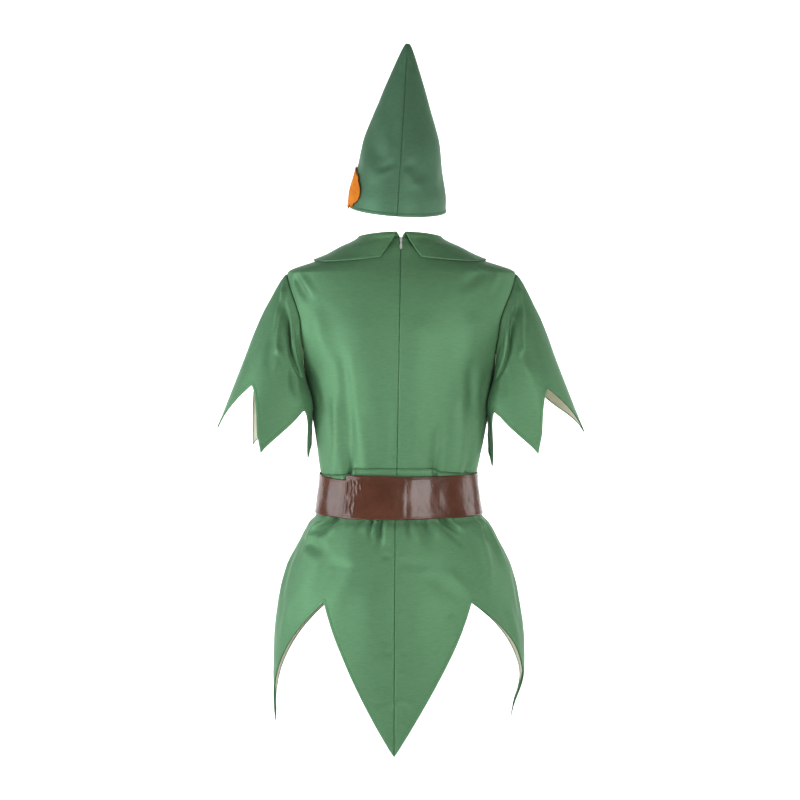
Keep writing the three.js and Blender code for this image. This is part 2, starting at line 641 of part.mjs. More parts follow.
function belt() {
  const count = Math.round((BELT.start - BELT.end) / BELT.step);
  const heights = [BELT_TOP, (BELT_TOP + BELT_BOTTOM) / 2, BELT_BOTTOM];
  const grid = heights.map((z) =>
    steps(count).map((t) => {
      const sweep = mix(BELT.start, BELT.end, t);
      const outer = beltForm(sweep, z);
      const round = beltForm(sweep + 1, z).sub(beltForm(sweep - 1, z));
      const down = beltForm(sweep, z - 1).sub(beltForm(sweep, z + 1));
      const normal = down.cross(round).normalize();
      return { outer, inner: outer.clone().addScaledVector(normal, -BELT_CLOTH) };
    }),
  );
  return wallGeometry(grid);
}

// Hat: two panels with a seam at the back and one in front.
function hatForm(angle, z) {
  const half = tableAt(HAT_RINGS, z, "half");
  const depth = tableAt(HAT_RINGS, z, "depth");
  const power = 2 / tableAt(HAT_RINGS, z, "point");
  const bend = (value) => Math.sign(value) * Math.abs(value) ** power;
  return vector(half * bend(Math.sin(radians(angle))), -depth * bend(Math.cos(radians(angle))), z);
}

// The normal is worked out a little inside a panel, because its seams are ridges.
function hatSpot(angle, z, thickness, { across = 0, lift = 0 } = {}) {
  const side = Math.sign(angle);
  const inside = side * THREE.MathUtils.clamp(Math.abs(angle), 6, 174);
  const near = THREE.MathUtils.clamp(z, 1, HAT_RINGS[HAT_RINGS.length - 1].z - 1);
  const { normal } = frameOf(hatForm, inside, near);
  const outer = hatForm(angle, z).add(vector(across, 0, 0)).addScaledVector(normal, lift);
  const inner = outer.clone().addScaledVector(normal, -thickness);
  const keep = side * Math.max(side * inner.x, side * across);
  return { outer, inner: inner.setX(lift > 0 ? inner.x : keep) };
}

function hatPanel(side) {
  const grid = HAT_RINGS.map(({ z }) =>
    steps(12).map((t) => {
      const angle = side * mix(0.001, 179.999, t);
      return hatSpot(angle, z, CLOTH, { across: (side * SEAM_GAP) / 2 });
    }),
  );
  return wallGeometry(grid);
}

// Leaf of felt on the hat's left side: its tip is towards the back and its blunt end towards the front.
function hatLeaf() {
  const halfWidth = (t) => LEAF.half * Math.sin(Math.PI * t ** 0.8) ** 0.75 + 0.6;
  const grid = [-1, -0.5, 0, 0.5, 1].map((across) =>
    steps(10).map((t) => {
      const angle = mix(LEAF.tip, LEAF.base, t);
      const height = mix(LEAF.tipHeight, LEAF.baseHeight, t) + 6 * Math.sin(Math.PI * t);
      const z = height + across * halfWidth(t);
      return hatSpot(angle, z, LEAF_FELT, { lift: LEAF_FELT + 1.2 });
    }),
  );
  return wallGeometry(grid);
}

// Zip: a tape behind the centre back seam, a slider at its top and the slider's tab.
function zipTape() {
  const offset = -(CLOTH + 2 * SEAM_GAP);
  const heights = [
    ...middleHeights(bodiceEdge(1, false), NECK.back - 2, WAIST.back + 1),
    ...SKIRT_LEVELS.filter((z) => z > ZIP_END),
    ZIP_END,
  ];
  const grid = heights.map((z) =>
    [-12, 0, 12].map((x) => {
      const form = z > WAIST.back ? bodiceForm : skirtForm;
      const depth = tableAt(z > WAIST.back ? BODICE_RINGS : SKIRT_RINGS, z, "half");
      const angle = THREE.MathUtils.radToDeg(Math.asin(x / depth));
      return formSpot(form, angle, z, TAPE_CLOTH, { lift: offset });
    }),
  );
  return wallGeometry(grid);
}

// A closed mesh as a solid that can be joined and cut, and back.
function solidOf(geometry) {
  const plain = geometry.clone();
  plain.deleteAttribute("normal");
  plain.deleteAttribute("uv");
  const merged = mergeVertices(plain, 1e-4);
  return new manifold.Manifold(
    new manifold.Mesh({
      numProp: 3,
      vertProperties: merged.attributes.position.array,
      triVerts: new Uint32Array(merged.index.array),
    }),
  );
}

function geometryOf(solid) {
  const made = solid.getMesh();
  const geometry = new THREE.BufferGeometry();
  geometry.setAttribute("position", new THREE.Float32BufferAttribute(made.vertProperties, 3));
  geometry.setIndex([...made.triVerts]);
  geometry.computeVertexNormals();
  return geometry;
}

// The slider's frame: X across, -Y out of the cloth, +Z up the seam, its origin on the tab's axis.
function sliderGeometry() {
  const [width, out, tall] = ZIP.body;
  const plate = new THREE.BoxGeometry(width, out, tall).translate(0, ZIP.axisOut + out / 2, 0.8);
  const arch = new THREE.Shape();
  arch.absarc(0, 0, ZIP.archOuter, -Math.PI, 0, false);
  arch.lineTo(ZIP.archOuter, ZIP.axisOut + 0.5);
  arch.lineTo(ZIP.archInner, ZIP.axisOut + 0.5);
  arch.absarc(0, 0, ZIP.archInner, 0, -Math.PI, true);
  arch.lineTo(-ZIP.archInner, ZIP.axisOut + 0.5);
  arch.lineTo(-ZIP.archOuter, ZIP.axisOut + 0.5);
  const bridge = new THREE.ExtrudeGeometry(arch, {
    depth: ZIP.archWidth, bevelEnabled: false, curveSegments: 10,
  });
  bridge.translate(0, 0, -ZIP.archWidth / 2);
  bridge.applyMatrix4(new THREE.Matrix4().makeBasis(vector(0, 0, 1), vector(0, 1, 0), vector(-1, 0, 0)));
  return geometryOf(solidOf(plate).add(solidOf(bridge)));
}

// The tab hangs from a bar that runs under the slider's arch; the hole below the bar lets the arch through.
function tabGeometry() {
  const outline = new THREE.Shape();
  const neck = ZIP.holeHalf + 0.75;
  outline.moveTo(-neck, ZIP.tabBar);
  outline.lineTo(-neck, -ZIP.holeEnd - 0.8);
  outline.quadraticCurveTo(-1.1, -ZIP.tabLength * 0.3, -1.5, -ZIP.tabLength * 0.45);
  outline.quadraticCurveTo(-ZIP.tabHalf, -ZIP.tabLength * 0.72, -ZIP.tabHalf * 0.85, -ZIP.tabLength * 0.85);
  outline.quadraticCurveTo(-ZIP.tabHalf * 0.55, -ZIP.tabLength, 0, -ZIP.tabLength);
  outline.quadraticCurveTo(ZIP.tabHalf * 0.55, -ZIP.tabLength, ZIP.tabHalf * 0.85, -ZIP.tabLength * 0.85);
  outline.quadraticCurveTo(ZIP.tabHalf, -ZIP.tabLength * 0.72, 1.5, -ZIP.tabLength * 0.45);
  outline.quadraticCurveTo(1.1, -ZIP.tabLength * 0.3, neck, -ZIP.holeEnd - 0.8);
  outline.lineTo(neck, ZIP.tabBar);
  const hole = new THREE.Path();
  hole.moveTo(-ZIP.holeHalf, -ZIP.tabBar);
  hole.lineTo(ZIP.holeHalf, -ZIP.tabBar);
  hole.lineTo(ZIP.holeHalf, -ZIP.holeEnd);
  hole.lineTo(-ZIP.holeHalf, -ZIP.holeEnd);
  outline.holes.push(hole);
  const made = new THREE.ExtrudeGeometry(outline, {
    depth: ZIP.tabThick, bevelEnabled: false, curveSegments: 5,
  });
  made.translate(0, 0, -ZIP.tabThick / 2);
  return made.rotateX(Math.PI / 2);
}

function zipFittings() {
  const group = new THREE.Group();
  const { normal } = frameOf(bodiceForm, 0, ZIP.z);
  const height = ZIP.clear + ZIP.body[1] + ZIP.axisOut;
  group.position.copy(bodiceForm(0, ZIP.z).addScaledVector(normal, height));
  group.rotation.x = -Math.asin(normal.z);
  const slider = new THREE.Mesh(sliderGeometry(), NICKEL);
  slider.name = "zip_slider";
  const tab = new THREE.Mesh(tabGeometry(), NICKEL);
  tab.name = "zip_pull";
  tab.rotation.x = radians(ZIP.tabTilt);
  group.add(slider, tab);
  return group;
}

function piece(name, geometry, material) {
  const mesh = new THREE.Mesh(geometry, material);
  mesh.name = name;
  return mesh;
}

const tunic = new THREE.Group();
tunic.add(piece("bodice_front", bodiceFront(), SATIN), piece("skirt_front", skirtFront(), SATIN));
for (const name of ["left", "right"]) {
  const side = sideOf(name);
  tunic.add(
    piece(`bodice_back_${name}`, bodiceBack(side), SATIN),
    piece(`skirt_back_${name}`, skirtBack(side), SATIN),
    piece(`sleeve_${name}`, sleeve(name), SATIN),
    piece(`collar_${name}`, collar(side), SATIN),
  );
}
tunic.add(piece("zip_tape", zipTape(), TAPE), zipFittings());

const hat = new THREE.Group();
hat.position.set(HAT.x, 0, HAT.z);
hat.rotation.set(radians(HAT.leanBack), radians(HAT.leanSide), 0);
hat.add(
  piece("hat_left", hatPanel(-1), SATIN),
  piece("hat_right", hatPanel(1), SATIN),
  piece("hat_leaf", hatLeaf(), FELT),
);

const costume = new THREE.Group();
costume.add(tunic, piece("belt", belt(), COATED), hat);

export default costume;
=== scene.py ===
"""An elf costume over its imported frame: a satin tunic with a zipped back, a coated belt and a pointed hat.

Blender's metres, +Z up, the zipped back towards -Y. The tables are in millimetres, as the pieces were cut.
Angles go round the body: 0 is the centre back, 90 the wearer's right side and 180 the centre front.
"""

import math
import random

import bpy
import numpy as np
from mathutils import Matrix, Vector

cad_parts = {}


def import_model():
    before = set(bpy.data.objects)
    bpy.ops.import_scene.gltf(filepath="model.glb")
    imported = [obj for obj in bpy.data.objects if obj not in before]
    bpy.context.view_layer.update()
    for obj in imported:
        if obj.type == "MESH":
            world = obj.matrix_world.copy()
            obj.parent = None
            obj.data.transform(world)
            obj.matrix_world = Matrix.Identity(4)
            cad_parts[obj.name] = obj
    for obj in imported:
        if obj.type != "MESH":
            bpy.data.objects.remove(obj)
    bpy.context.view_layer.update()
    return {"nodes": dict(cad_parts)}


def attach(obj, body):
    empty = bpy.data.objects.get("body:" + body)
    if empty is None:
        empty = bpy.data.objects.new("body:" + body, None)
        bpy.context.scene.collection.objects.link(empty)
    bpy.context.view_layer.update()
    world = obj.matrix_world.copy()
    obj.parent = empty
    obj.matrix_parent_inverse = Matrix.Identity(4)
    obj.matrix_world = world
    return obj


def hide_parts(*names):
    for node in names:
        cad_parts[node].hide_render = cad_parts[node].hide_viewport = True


MM = 0.001

# Cloth and belt
CLOTH = 1.6
COLLAR_CLOTH = 1.8
BELT_CLOTH = 2.2
LEAF_FELT = 2
TAPE_CLOTH = 1
SEAM_GAP = 0.06
TAPE_DEPTH = CLOTH + 0.6  # the zip's tape lies this far behind the cloth's face
HEM = 6.0  # how far above its edge a hem is stitched
FOLDED = 1.6  # how much of the right side a hem's fold shows on the inside
SEAM_ALLOWANCE = 12  # how far from a seam the inside shows the right side, as it is turned in there

# Heights of the tunic, from the neck
NECK = {"back": 8, "side": 0, "front": -70}
WAIST = {"back": -414, "side": -428, "front": -422}
SHOULDER = -57
UNDERARM = -240
BELT_TOP = -427
BELT_BOTTOM = -503
ZIP_END = -600


def mix(low, high, share):
    return low + (high - low) * share


def smooth(low, high, value):
    share = np.clip((value - low) / (high - low), 0, 1)
    return share * share * (3 - 2 * share)


def bell(off, width=1):
    """1 in the middle, fading to 0 on both sides."""
    return np.exp(-((off / width) ** 2))


def cosine(angle):
    return np.cos(np.radians(angle))


def sine(angle):
    return np.sin(np.radians(angle))


def turn_between(angle, middle):
    return (angle - middle + 180) % 360 - 180


def point(x, y, z):
    return np.stack(np.broadcast_arrays(x, y, z), axis=-1).astype(float)


def unit(vectors):
    length = np.linalg.norm(vectors, axis=-1, keepdims=True)
    return vectors / np.maximum(length, 1e-12)


class Measures:
    """Rows of measures by height, with a smooth curve through each column."""

    def __init__(self, names, rows):
        table = np.array(sorted(rows), float)
        self.heights = table[:, 0]
        self.columns = dict(zip(names.split(), table[:, 1:].T))

    def at(self, name, z):
        heights, values = self.heights, self.columns[name]
        slopes = np.diff(values) / np.diff(heights)
        before, after = slopes[:-1], slopes[1:]
        same = before * after > 0
        tangents = np.empty_like(values)
        tangents[0], tangents[-1] = slopes[0], slopes[-1]
        tangents[1:-1] = np.where(same, 2 * before * after / np.where(same, before + after, 1), 0)
        z = np.clip(z, heights[0], heights[-1])
        i = np.clip(np.searchsorted(heights, z, side="right") - 1, 0, len(heights) - 2)
        span = heights[i + 1] - heights[i]
        t = (z - heights[i]) / span
        level = (2 * t**3 - 3 * t**2 + 1) * values[i] + (3 * t**2 - 2 * t**3) * values[i + 1]
        lean = (t**3 - 2 * t**2 + t) * tangents[i] + (t**3 - t**2) * tangents[i + 1]
        return level + span * lean


# The tunic's rings: height, half its width, how far it reaches back and front, its middle's shift sideways,
# and how much further the centre back seam is shifted.
RING_COLUMNS = "half back front shift seam"
BODICE_RINGS = Measures(RING_COLUMNS, [
    (14, 56, 60, 36, 0, 1.9),
    (0, 74, 67, 40, 0, 1.7),
    (-11.5, 107, 75, 47, 0.5, 1),
    (-28.5, 142, 83, 53, 1, 0.2),
    (-57, 212, 97, 64, 2.5, -1.8),
    (-82, 212, 106, 75, 2.5, -2.1),
    (-120, 210, 115, 88, 1.5, -1.8),
    (-165, 204, 121, 101, 0, -1.1),
    (-205, 190, 122, 110, -1, -0.8),
    (-240, 177, 120, 115, -0.5, -1.8),
    (-300, 167, 114, 114, 0.5, -3.8),
    (-360, 157, 107, 108, 0, -4.3),
    (-410, 148.5, 101, 103, -2, -3.2),
    (-432, 144.5, 98, 101, -2.5, -3),
])
SKIRT_RINGS = Measures(RING_COLUMNS, [
    (-405, 149.5, 102, 104, -2, -3.2),
    (-432, 144.5, 98, 101, -2.5, -3),
    (-470, 148.5, 101, 104, -2.5, -4.5),
    (-500, 153.5, 106, 108, -2, -6),
    (-508, 156, 108, 110, -2, -6.6),
    (-517, 166, 116, 118, -2, -7),
    (-530, 174, 122, 124, -1.5, -7.4),
    (-552, 185.5, 130, 132, -1.5, -7.5),
    (-600, 209.5, 145, 147, -2, -7.2),
    (-652, 223, 158, 158, -2.5, -6.9),
    (-738, 234, 166, 166, -1.5, -8.2),
    (-800, 235, 168, 167, -2, -8.2),
    (-930, 230, 164, 163, -2.5, -8.1),
])

FOLD_LEAD = 20  # how far past its strong end a fold dies away
CREASE_STRENGTH = 1.5  # how much deeper than in the tables the tunic's creases are

# Soft folds: heights, then angles, of the strong and the fading end, the width and the depth outwards.
BODICE_FOLDS = [
    (-432, -230, -40, -29, 15, -7), (-432, -340, -55, -52, 11, 4), (-432, -250, -23, -17, 12, 4),
    (-432, -380, -13, -12, 9, -3), (-432, -360, 27, 25, 10, -5), (-432, -270, 49, 42, 11, 5),
    (-432, -340, 60, 58, 10, -5), (-432, -300, 140, 144, 14, -6), (-432, -320, 156, 158, 11, 4),
    (-432, -310, -142, -145, 14, -6), (-432, -330, -158, -160, 11, 4),
]
SKIRT_FOLDS = [
    (-517, -552, -47, -62, 9, -8), (-517, -570, -11, -9.5, 8, -6), (-590, -680, -29, -40, 17, -6),
    (-517, -560, 18, 18, 9, -5), (-517, -560, 31, 40, 8, -6), (-517, -680, 60, 42, 14, 5),
    (-530, -640, 71, 60, 15, -7), (-517, -620, -66, -60, 14, 5), (-517, -640, 150, 146, 15, -8),
    (-517, -600, 166, 166, 11, 5), (-517, -640, -150, -145, 15, -8), (-517, -600, -168, -168, 11, -6),
    (-883, -790, 90, 90, 90, -20),
]

# Creases: angle and height of the end where each springs up, those of the end where it dies away, the width
# and the depth outwards.
BODICE_CREASES = [
    (-69, -58, -50, -116, 8, -2.6), (-60, -60, -46, -105, 7, 1.2), (47, -48, 29, -94, 9, -2.2),
    (58, -52, 43, -110, 8, 1.2), (-33, -185, -37, -420, 9, -2.2), (-44, -270, -51, -440, 8, 2.2),
    (-26, -300, -27, -440, 9, 1.6), (-7, -270, -8, -440, 8, -1.3), (12, -300, 13, -440, 11, 1.5),
    (26, -330, 28, -440, 7, -2), (41, -280, 51, -440, 8, 1.8), (45, -205, 59, -400, 10, -2.6),
    (-21, -105, -24, -330, 24, 1.7), (10, -120, 11, -340, 22, 1.5), (-47, -110, -44, -250, 15, 1.6),
    (38, -120, 43, -270, 16, 1.6), (-66, -225, -58, -330, 9, -1.8), (66, -232, 60, -310, 9, -1.6),
    (1, -361, 10, -364, 3, -0.8), (-1, -300, -7, -306, 4, -0.6), (150, -190, 146, -350, 11, -2.4),
    (-146, -200, -151, -370, 10, -2.2), (132, -230, 138, -420, 9, 2), (-130, -240, -137, -410, 9, 2.2),
    (172, -140, 168, -320, 19, 1.6), (-170, -160, -165, -330, 18, 1.5), (114, -68, 133, -124, 9, -2.2),
    (-118, -64, -136, -112, 8, -2.4), (160, -250, 161, -430, 8, -1.6), (-176, -280, -177, -430, 9, -1.4),
]
SKIRT_CREASES = [
    (-43, -494, -62, -540, 5.5, -7), (-53, -500, -72, -534, 6, 3.6), (-36, -496, -50, -546, 8, 2.6),
    (-66, -547, -38, -571, 9, -3.2), (-74, -536, -50, -544, 8, 1.8), (-17, -494, -16, -538, 3.6, -4.6),
    (-11, -494, -8.5, -552, 4.4, -4), (-13.5, -494, -12, -552, 4, 1.8), (-24, -494, -26, -532, 5, -2.4),
    (-5, -503, -5, -560, 5, 2.2), (8.5, -494, 8, -540, 4, -2.8), (19, -494, 20, -530, 4, -3),
    (29, -492, 40, -534, 5, -6.6), (12.5, -503, 12.5, -545, 5, 1.4), (25, -503, 25, -540, 5, 1.8),
    (37, -505, 46, -532, 5, 2.2), (70, -496, 60, -562, 6.5, -6.5), (77, -508, 72, -600, 7, 2.4),
    (56, -520, 50, -640, 9, 1.8), (-7, -565, -0.6, -571, 5, -1.5), (-2, -579, 27, -586, 8, -0.6),
    (14, -592, 36, -660, 12, -1.2), (24, -592, 42, -650, 11, 1), (24, -672, 33, -698, 6, -1.4),
    (-36, -560, -46, -680, 18, -1.8), (-24, -530, -31, -680, 20, 1.8), (14, -620, 10, -800, 20, 1.3),
    (-13, -600, -9, -780, 22, 1.6), (0, -725, -9, -722, 3.5, -1.6), (0, -741, -10, -745, 4, -2.2),
    (-0.6, -770, -5, -768, 4, 0.7), (0, -800, -10, -804, 4, -1.8), (0, -831, -11, -836, 5, -2.4),
    (-0.6, -847, -6, -849, 4, 0.8), (-0.6, -862, -6, -864, 4, -1), (0, -739, 8, -743, 4, -1.6),
    (0.6, -772, 5, -771, 4, -0.7), (0, -822, 11, -828, 5, -2.2), (0.6, -842, 7, -844, 4, 0.7),
    (0.6, -862, 9, -867, 4, -1.2), (-80, -560, -72, -690, 12, -1.8), (82, -600, 76, -720, 12, -1.6),
    (-62, -640, -70, -760, 12, 1.3), (62, -650, 72, -770, 12, 1.4), (170, -503, 169, -560, 6, -2.4),
    (160, -503, 156, -580, 7, -2.6), (137, -505, 128, -548, 8, -3.8), (-139, -505, -130, -545, 8, -3.4),
    (-159, -503, -157, -560, 6, -2.6), (-176, -503, -176, -550, 5, -2), (-128, -558, -138, -566, 8, -2.8),
    (154, -610, 146, -700, 15, -2.2), (-152, -600, -146, -690, 14, -2), (168, -600, 172, -790, 20, 1.5),
    (-170, -640, -173, -800, 19, 1.4), (116, -520, 124, -640, 10, 2), (-114, -525, -121, -650, 11, 2.2),
]
# Tucks that the bodice and the skirt's top share at the waist seam, in rows like those of the soft folds.
WAIST_TUCKS = [
    (-440, -360, -38.2, -37, 3.4, -12), (-440, -376, -33.5, -33, 4, 2.6),
    (-440, -370, -44.5, -45.5, 6, 2.8), (-440, -378, 28, 27, 3, -8), (-440, -392, 32.5, 33, 4, 2.4),
    (-440, -396, 23, 22, 5, 1.2), (-436, -395, -62, -61, 5, -2.2), (-436, -402, 70, 69, 5, -2.4),
    (-436, -388, 147, 146, 5, -4.6), (-436, -385, -149, -148, 5, -4.8),
]


def fold_push(folds, angle, z, reach):
    push = np.zeros(np.broadcast(angle, z).shape)
    for start, end, start_angle, end_angle, width, depth in folds:
        share = (z - start) / (end - start)
        past = np.maximum(0, -share) * abs(end - start)
        lead = 1 - smooth(0, FOLD_LEAD, past)
        strength = np.where(share < 0, lead, 1 - smooth(0, 1, share))
        middle = mix(start_angle, end_angle, np.clip(share, 0, 1))
        off = np.radians(turn_between(angle, middle)) * reach / width
        push += depth * strength * bell(off)
    return push


def crease_push(creases, angle, z, reach, rise=0.22):
    """Each crease is a trough or ridge with a faint lip on both sides."""
    push = np.zeros(np.broadcast(angle, z).shape)
    for start_angle, start_z, end_angle, end_z, width, depth in creases:
        run = np.radians(end_angle - start_angle) * reach
        drop = end_z - start_z
        across = np.radians(turn_between(angle, start_angle)) * reach
        down = z - start_z
        share = (across * run + down * drop) / (run**2 + drop**2)
        strength = smooth(0, rise, share) * (1 - smooth(0.45, 1, share))
        off = np.hypot(across - share * run, down - share * drop) / width
        shape = bell(off) - 0.22 * bell(off - 1.9, 0.8)
        push += depth * strength * shape
    return push


def ring_depth(rings, z, to_back):
    return np.where(to_back, rings.at("back", z), rings.at("front", z))


class Form:
    """A ringed form: points and outward normals by angle and height."""

    def __init__(self, rings, folds=(), creases=(), tucks=()):
        self.rings, self.folds, self.creases, self.tucks = rings, folds, creases, tucks

    def spot(self, angle, z):
        half = self.rings.at("half", z)
        depth = ring_depth(self.rings, z, cosine(angle) > 0)
        reach = (half + depth) / 2
        creased = CREASE_STRENGTH * crease_push(self.creases, angle, z, reach)
        push = fold_push(self.folds, angle, z, reach) + creased + fold_push(self.tucks, angle, z, reach)
        out = unit(point(sine(angle) / half, -cosine(angle) / depth, 0))
        seam = self.rings.at("seam", z) * np.maximum(0, cosine(angle)) ** 6
        middle = self.rings.at("shift", z) + seam
        ring = point(middle + half * sine(angle), -depth * cosine(angle), z)
        return ring + out * push[..., None]

    def frame(self, angle, z):
        """Directions of growing angle and of height, and the outward normal."""
        along = unit(self.spot(angle + 0.5, z) - self.spot(angle - 0.5, z))
        up = unit(self.spot(angle, z + 0.5) - self.spot(angle, z - 0.5))
        return along, up, unit(np.cross(along, up))


PLAIN_BODICE = Form(BODICE_RINGS, BODICE_FOLDS)
BODICE = Form(BODICE_RINGS, BODICE_FOLDS, BODICE_CREASES, WAIST_TUCKS)
SKIRT = Form(SKIRT_RINGS, SKIRT_FOLDS, SKIRT_CREASES, WAIST_TUCKS)
PLAIN_SKIRT = Form(SKIRT_RINGS, SKIRT_FOLDS)
SMOOTH_SKIRT = Form(SKIRT_RINGS)


# Walls of cloth

def distance_to(points, line):
    """How far each point is from a line of points."""
    flat = points.reshape(-1, 3)
    starts, steps = line[:-1], np.diff(line, axis=0)
    lengths = np.maximum((steps**2).sum(1), 1e-9)
    best = np.full(len(flat), np.inf)
    for start, step, length in zip(starts, steps, lengths):
        share = np.clip(((flat - start) @ step) / length, 0, 1)
        best = np.minimum(best, ((flat - start - share[:, None] * step) ** 2).sum(1))
    return np.sqrt(best).reshape(points.shape[:-1])


def rim_of(rows, columns, looped):
    """The wall's edge as rings of (row, column), in the order in which the outer faces pass them."""
    across = [(0, c) for c in range(columns)]
    back = [(rows - 1, c) for c in reversed(range(columns))]
    if looped:
        return [across, back]
    down = [(r, columns - 1) for r in range(1, rows - 1)]
    up = [(r, 0) for r in reversed(range(1, rows - 1))]
    return [across + down + back + up]


def rim_out(spots, row, column, looped):
    """The direction in which the wall ends at a spot of its rim."""
    rows, columns = spots.shape[:2]
    out = np.zeros(3)
    if row in (0, rows - 1):
        out += unit(spots[row, column] - spots[1 if row == 0 else rows - 2, column])
    if not looped and column in (0, columns - 1):
        out += unit(spots[row, column] - spots[row, 1 if column == 0 else columns - 2])
    return unit(out)


def wall(name, outer, inner, looped=False, *, materials, bulge=0.3, folded=None):
    """A closed wall: outer face, inner face and rounded rim. What is folded over shows the right side.

    Its materials are the right side's, the wrong side's and the rim's, a darker one that paints shade on the
    rim. With fewer, the first is everywhere.
    """
    rows, columns = outer.shape[:2]
    count = rows * columns
    middle = (outer + inner) / 2
    spots = [*outer.reshape(-1, 3), *inner.reshape(-1, 3)]
    faces, finish = [], []
    last = columns if looped else columns - 1
    for r in range(rows - 1):
        for c in range(last):
            d = (c + 1) % columns
            a, b = r * columns + c, r * columns + d
            faces.append((a, b, b + columns, a + columns))
            faces.append((count + a, count + a + columns, count + b + columns, count + b))
            finish += [0, 0 if folded is not None and folded[r, c] else 1]
    for ring in rim_of(rows, columns, looped):
        ids = []
        for row, column in ring:
            ids.append(len(spots))
            spots.append(middle[row, column] + bulge * rim_out(middle, row, column, looped))
        for i, (row, column) in enumerate(ring):
            j = (i + 1) % len(ring)
            a, b = row * columns + column, ring[j][0] * columns + ring[j][1]
            faces.append((b, a, ids[i], ids[j]))
            faces.append((ids[j], ids[i], count + a, count + b))
            finish += [2, 2]
    made = new_mesh(name, np.array(spots), faces, materials)
    made.data.polygons.foreach_set("material_index", finish if len(materials) > 2 else [0] * len(faces))
    return made


def new_mesh(name, spots, faces, materials):
    """A smooth mesh in metres from spots in millimetres, turned so that its faces look out."""
    mesh = bpy.data.meshes.new(name)
    mesh.from_pydata((spots * MM).tolist(), [], faces)
    if signed_volume(mesh) < 0:
        mesh.flip_normals()
    mesh.shade_smooth()
    for material in materials:
        mesh.materials.append(material)
    made = bpy.data.objects.new(name, mesh)
    bpy.context.scene.collection.objects.link(made)
    return made


def signed_volume(mesh):
    mesh.calc_loop_triangles()
    corners = np.empty(len(mesh.loop_triangles) * 3, int)
    mesh.loop_triangles.foreach_get("vertices", corners)
    spots = np.empty(len(mesh.vertices) * 3)
    mesh.vertices.foreach_get("co", spots)
    a, b, c = spots.reshape(-1, 3)[corners].reshape(-1, 3, 3).transpose(1, 0, 2)
    return float((a * np.cross(b, c)).sum())


def turned_in(distance):
    """How far the cloth turns in at a seam."""
    return 1.9 * np.exp(-((distance / 0.8) ** 1.5)) + 0.5 * bell(distance, 2.8)


def puckered(distance, along, seed):
    """Small uneven puckers that a seam draws into the cloth beside it."""
    chance = random.Random(seed)
    waves = np.zeros_like(along)
    for length in (9, 13, 21, 34):
        waves += chance.uniform(0.5, 1) * np.sin(along * math.tau / length + chance.uniform(0, math.tau))
    return 0.16 * waves * np.exp(-distance / 7) * smooth(0, 2, distance)


def turned_hem(distance, edge=0.6):
    """A hem's fold stands a little proud, and its stitching pulls in."""
    fold = smooth(0.1, 1, distance) * (1 - smooth(HEM - 0.7, HEM + 0.9, distance))
    stitched = bell(distance - HEM, 0.8)
    return 0.6 * fold - edge * bell(distance, 0.6) - 0.5 * stitched


def shaped(spots, normals, seams, hems=(), pucker=1.0):
    """Outer and inner faces of a wall that turns in at its seams and is folded at its hems."""
    push = np.zeros(spots.shape[:-1])
    hem_distance = np.full(spots.shape[:-1], 100.0)
    folded = np.zeros(spots.shape[:-1], bool)
    for line in hems:
        hem_distance = np.minimum(hem_distance, distance_to(spots, line))
    for seed, line in enumerate(seams):
        distance = distance_to(spots, line)
        along = spots @ unit(line[-1] - line[0])
        fade = smooth(0, 4, hem_distance) if hems else 1
        folded |= distance < SEAM_ALLOWANCE
        push = push - turned_in(distance) * fade + pucker * puckered(distance, along, seed + 3)
    if hems:
        push = push + turned_hem(hem_distance)
    outer = spots + normals * push[..., None]
    inner = outer - normals * CLOTH
    return outer, inner, hem_distance, folded | (hem_distance < FOLDED)


def sideways(parts):
    return [np.swapaxes(part, 0, 1) for part in parts]


def inset_line(outer, normals, distances, inset, backwards=True):
    """A line on a wall at a distance from its hem: the places and their normals, column by column."""
    places, outs = [], []
    rows = distances.shape[0]
    order = range(rows - 1, 0, -1) if backwards else range(rows - 1)
    for c in range(distances.shape[1]):
        for r in order:
            s = r - 1 if backwards else r + 1
            if distances[r, c] <= inset < distances[s, c]:
                t = (inset - distances[r, c]) / (distances[s, c] - distances[r, c])
                places.append(mix(outer[r, c], outer[s, c], t))
                outs.append(unit(mix(normals[r, c], normals[s, c], t)))
                break
    return np.array(places), np.array(outs)


def along_line(places, outs, step, start=0.0):
    """Evenly spaced places on a line, with their directions and normals."""
    lengths = np.linalg.norm(np.diff(places, axis=0), axis=1)
    run = np.concatenate([[0], np.cumsum(lengths)])
    stops = np.arange(start, run[-1], step)

    def at(stops, rows):
        return np.stack([np.interp(stops, run, column) for column in rows.T], -1)

    return at(stops, places), unit(at(stops + 0.4, places) - at(stops - 0.4, places)), unit(at(stops, outs))


def add_tube(spots, faces, rings):
    """Adds a closed tube through rings of places."""
    first, sides = len(spots), len(rings[0])
    for ring in rings:
        spots.extend(ring)
    for row in range(len(rings) - 1):
        for k in range(sides):
            a, b = first + row * sides + k, first + row * sides + (k + 1) % sides
            faces.append((a, b, b + sides, a + sides))
    faces.append(tuple(first + k for k in reversed(range(sides))))
    faces.append(tuple(first + (len(rings) - 1) * sides + k for k in range(sides)))


def turns(sides):
    return [math.tau * k / sides for k in range(sides)]


# A stitch's rings: the share of its length, its girth and how far it dips into the cloth.
STITCH_RINGS = ((-0.5, 0.35, -0.35), (-0.3, 0.9, 0), (0.3, 0.9, 0), (0.5, 0.35, -0.35))
STITCH_LIFT = 0.05


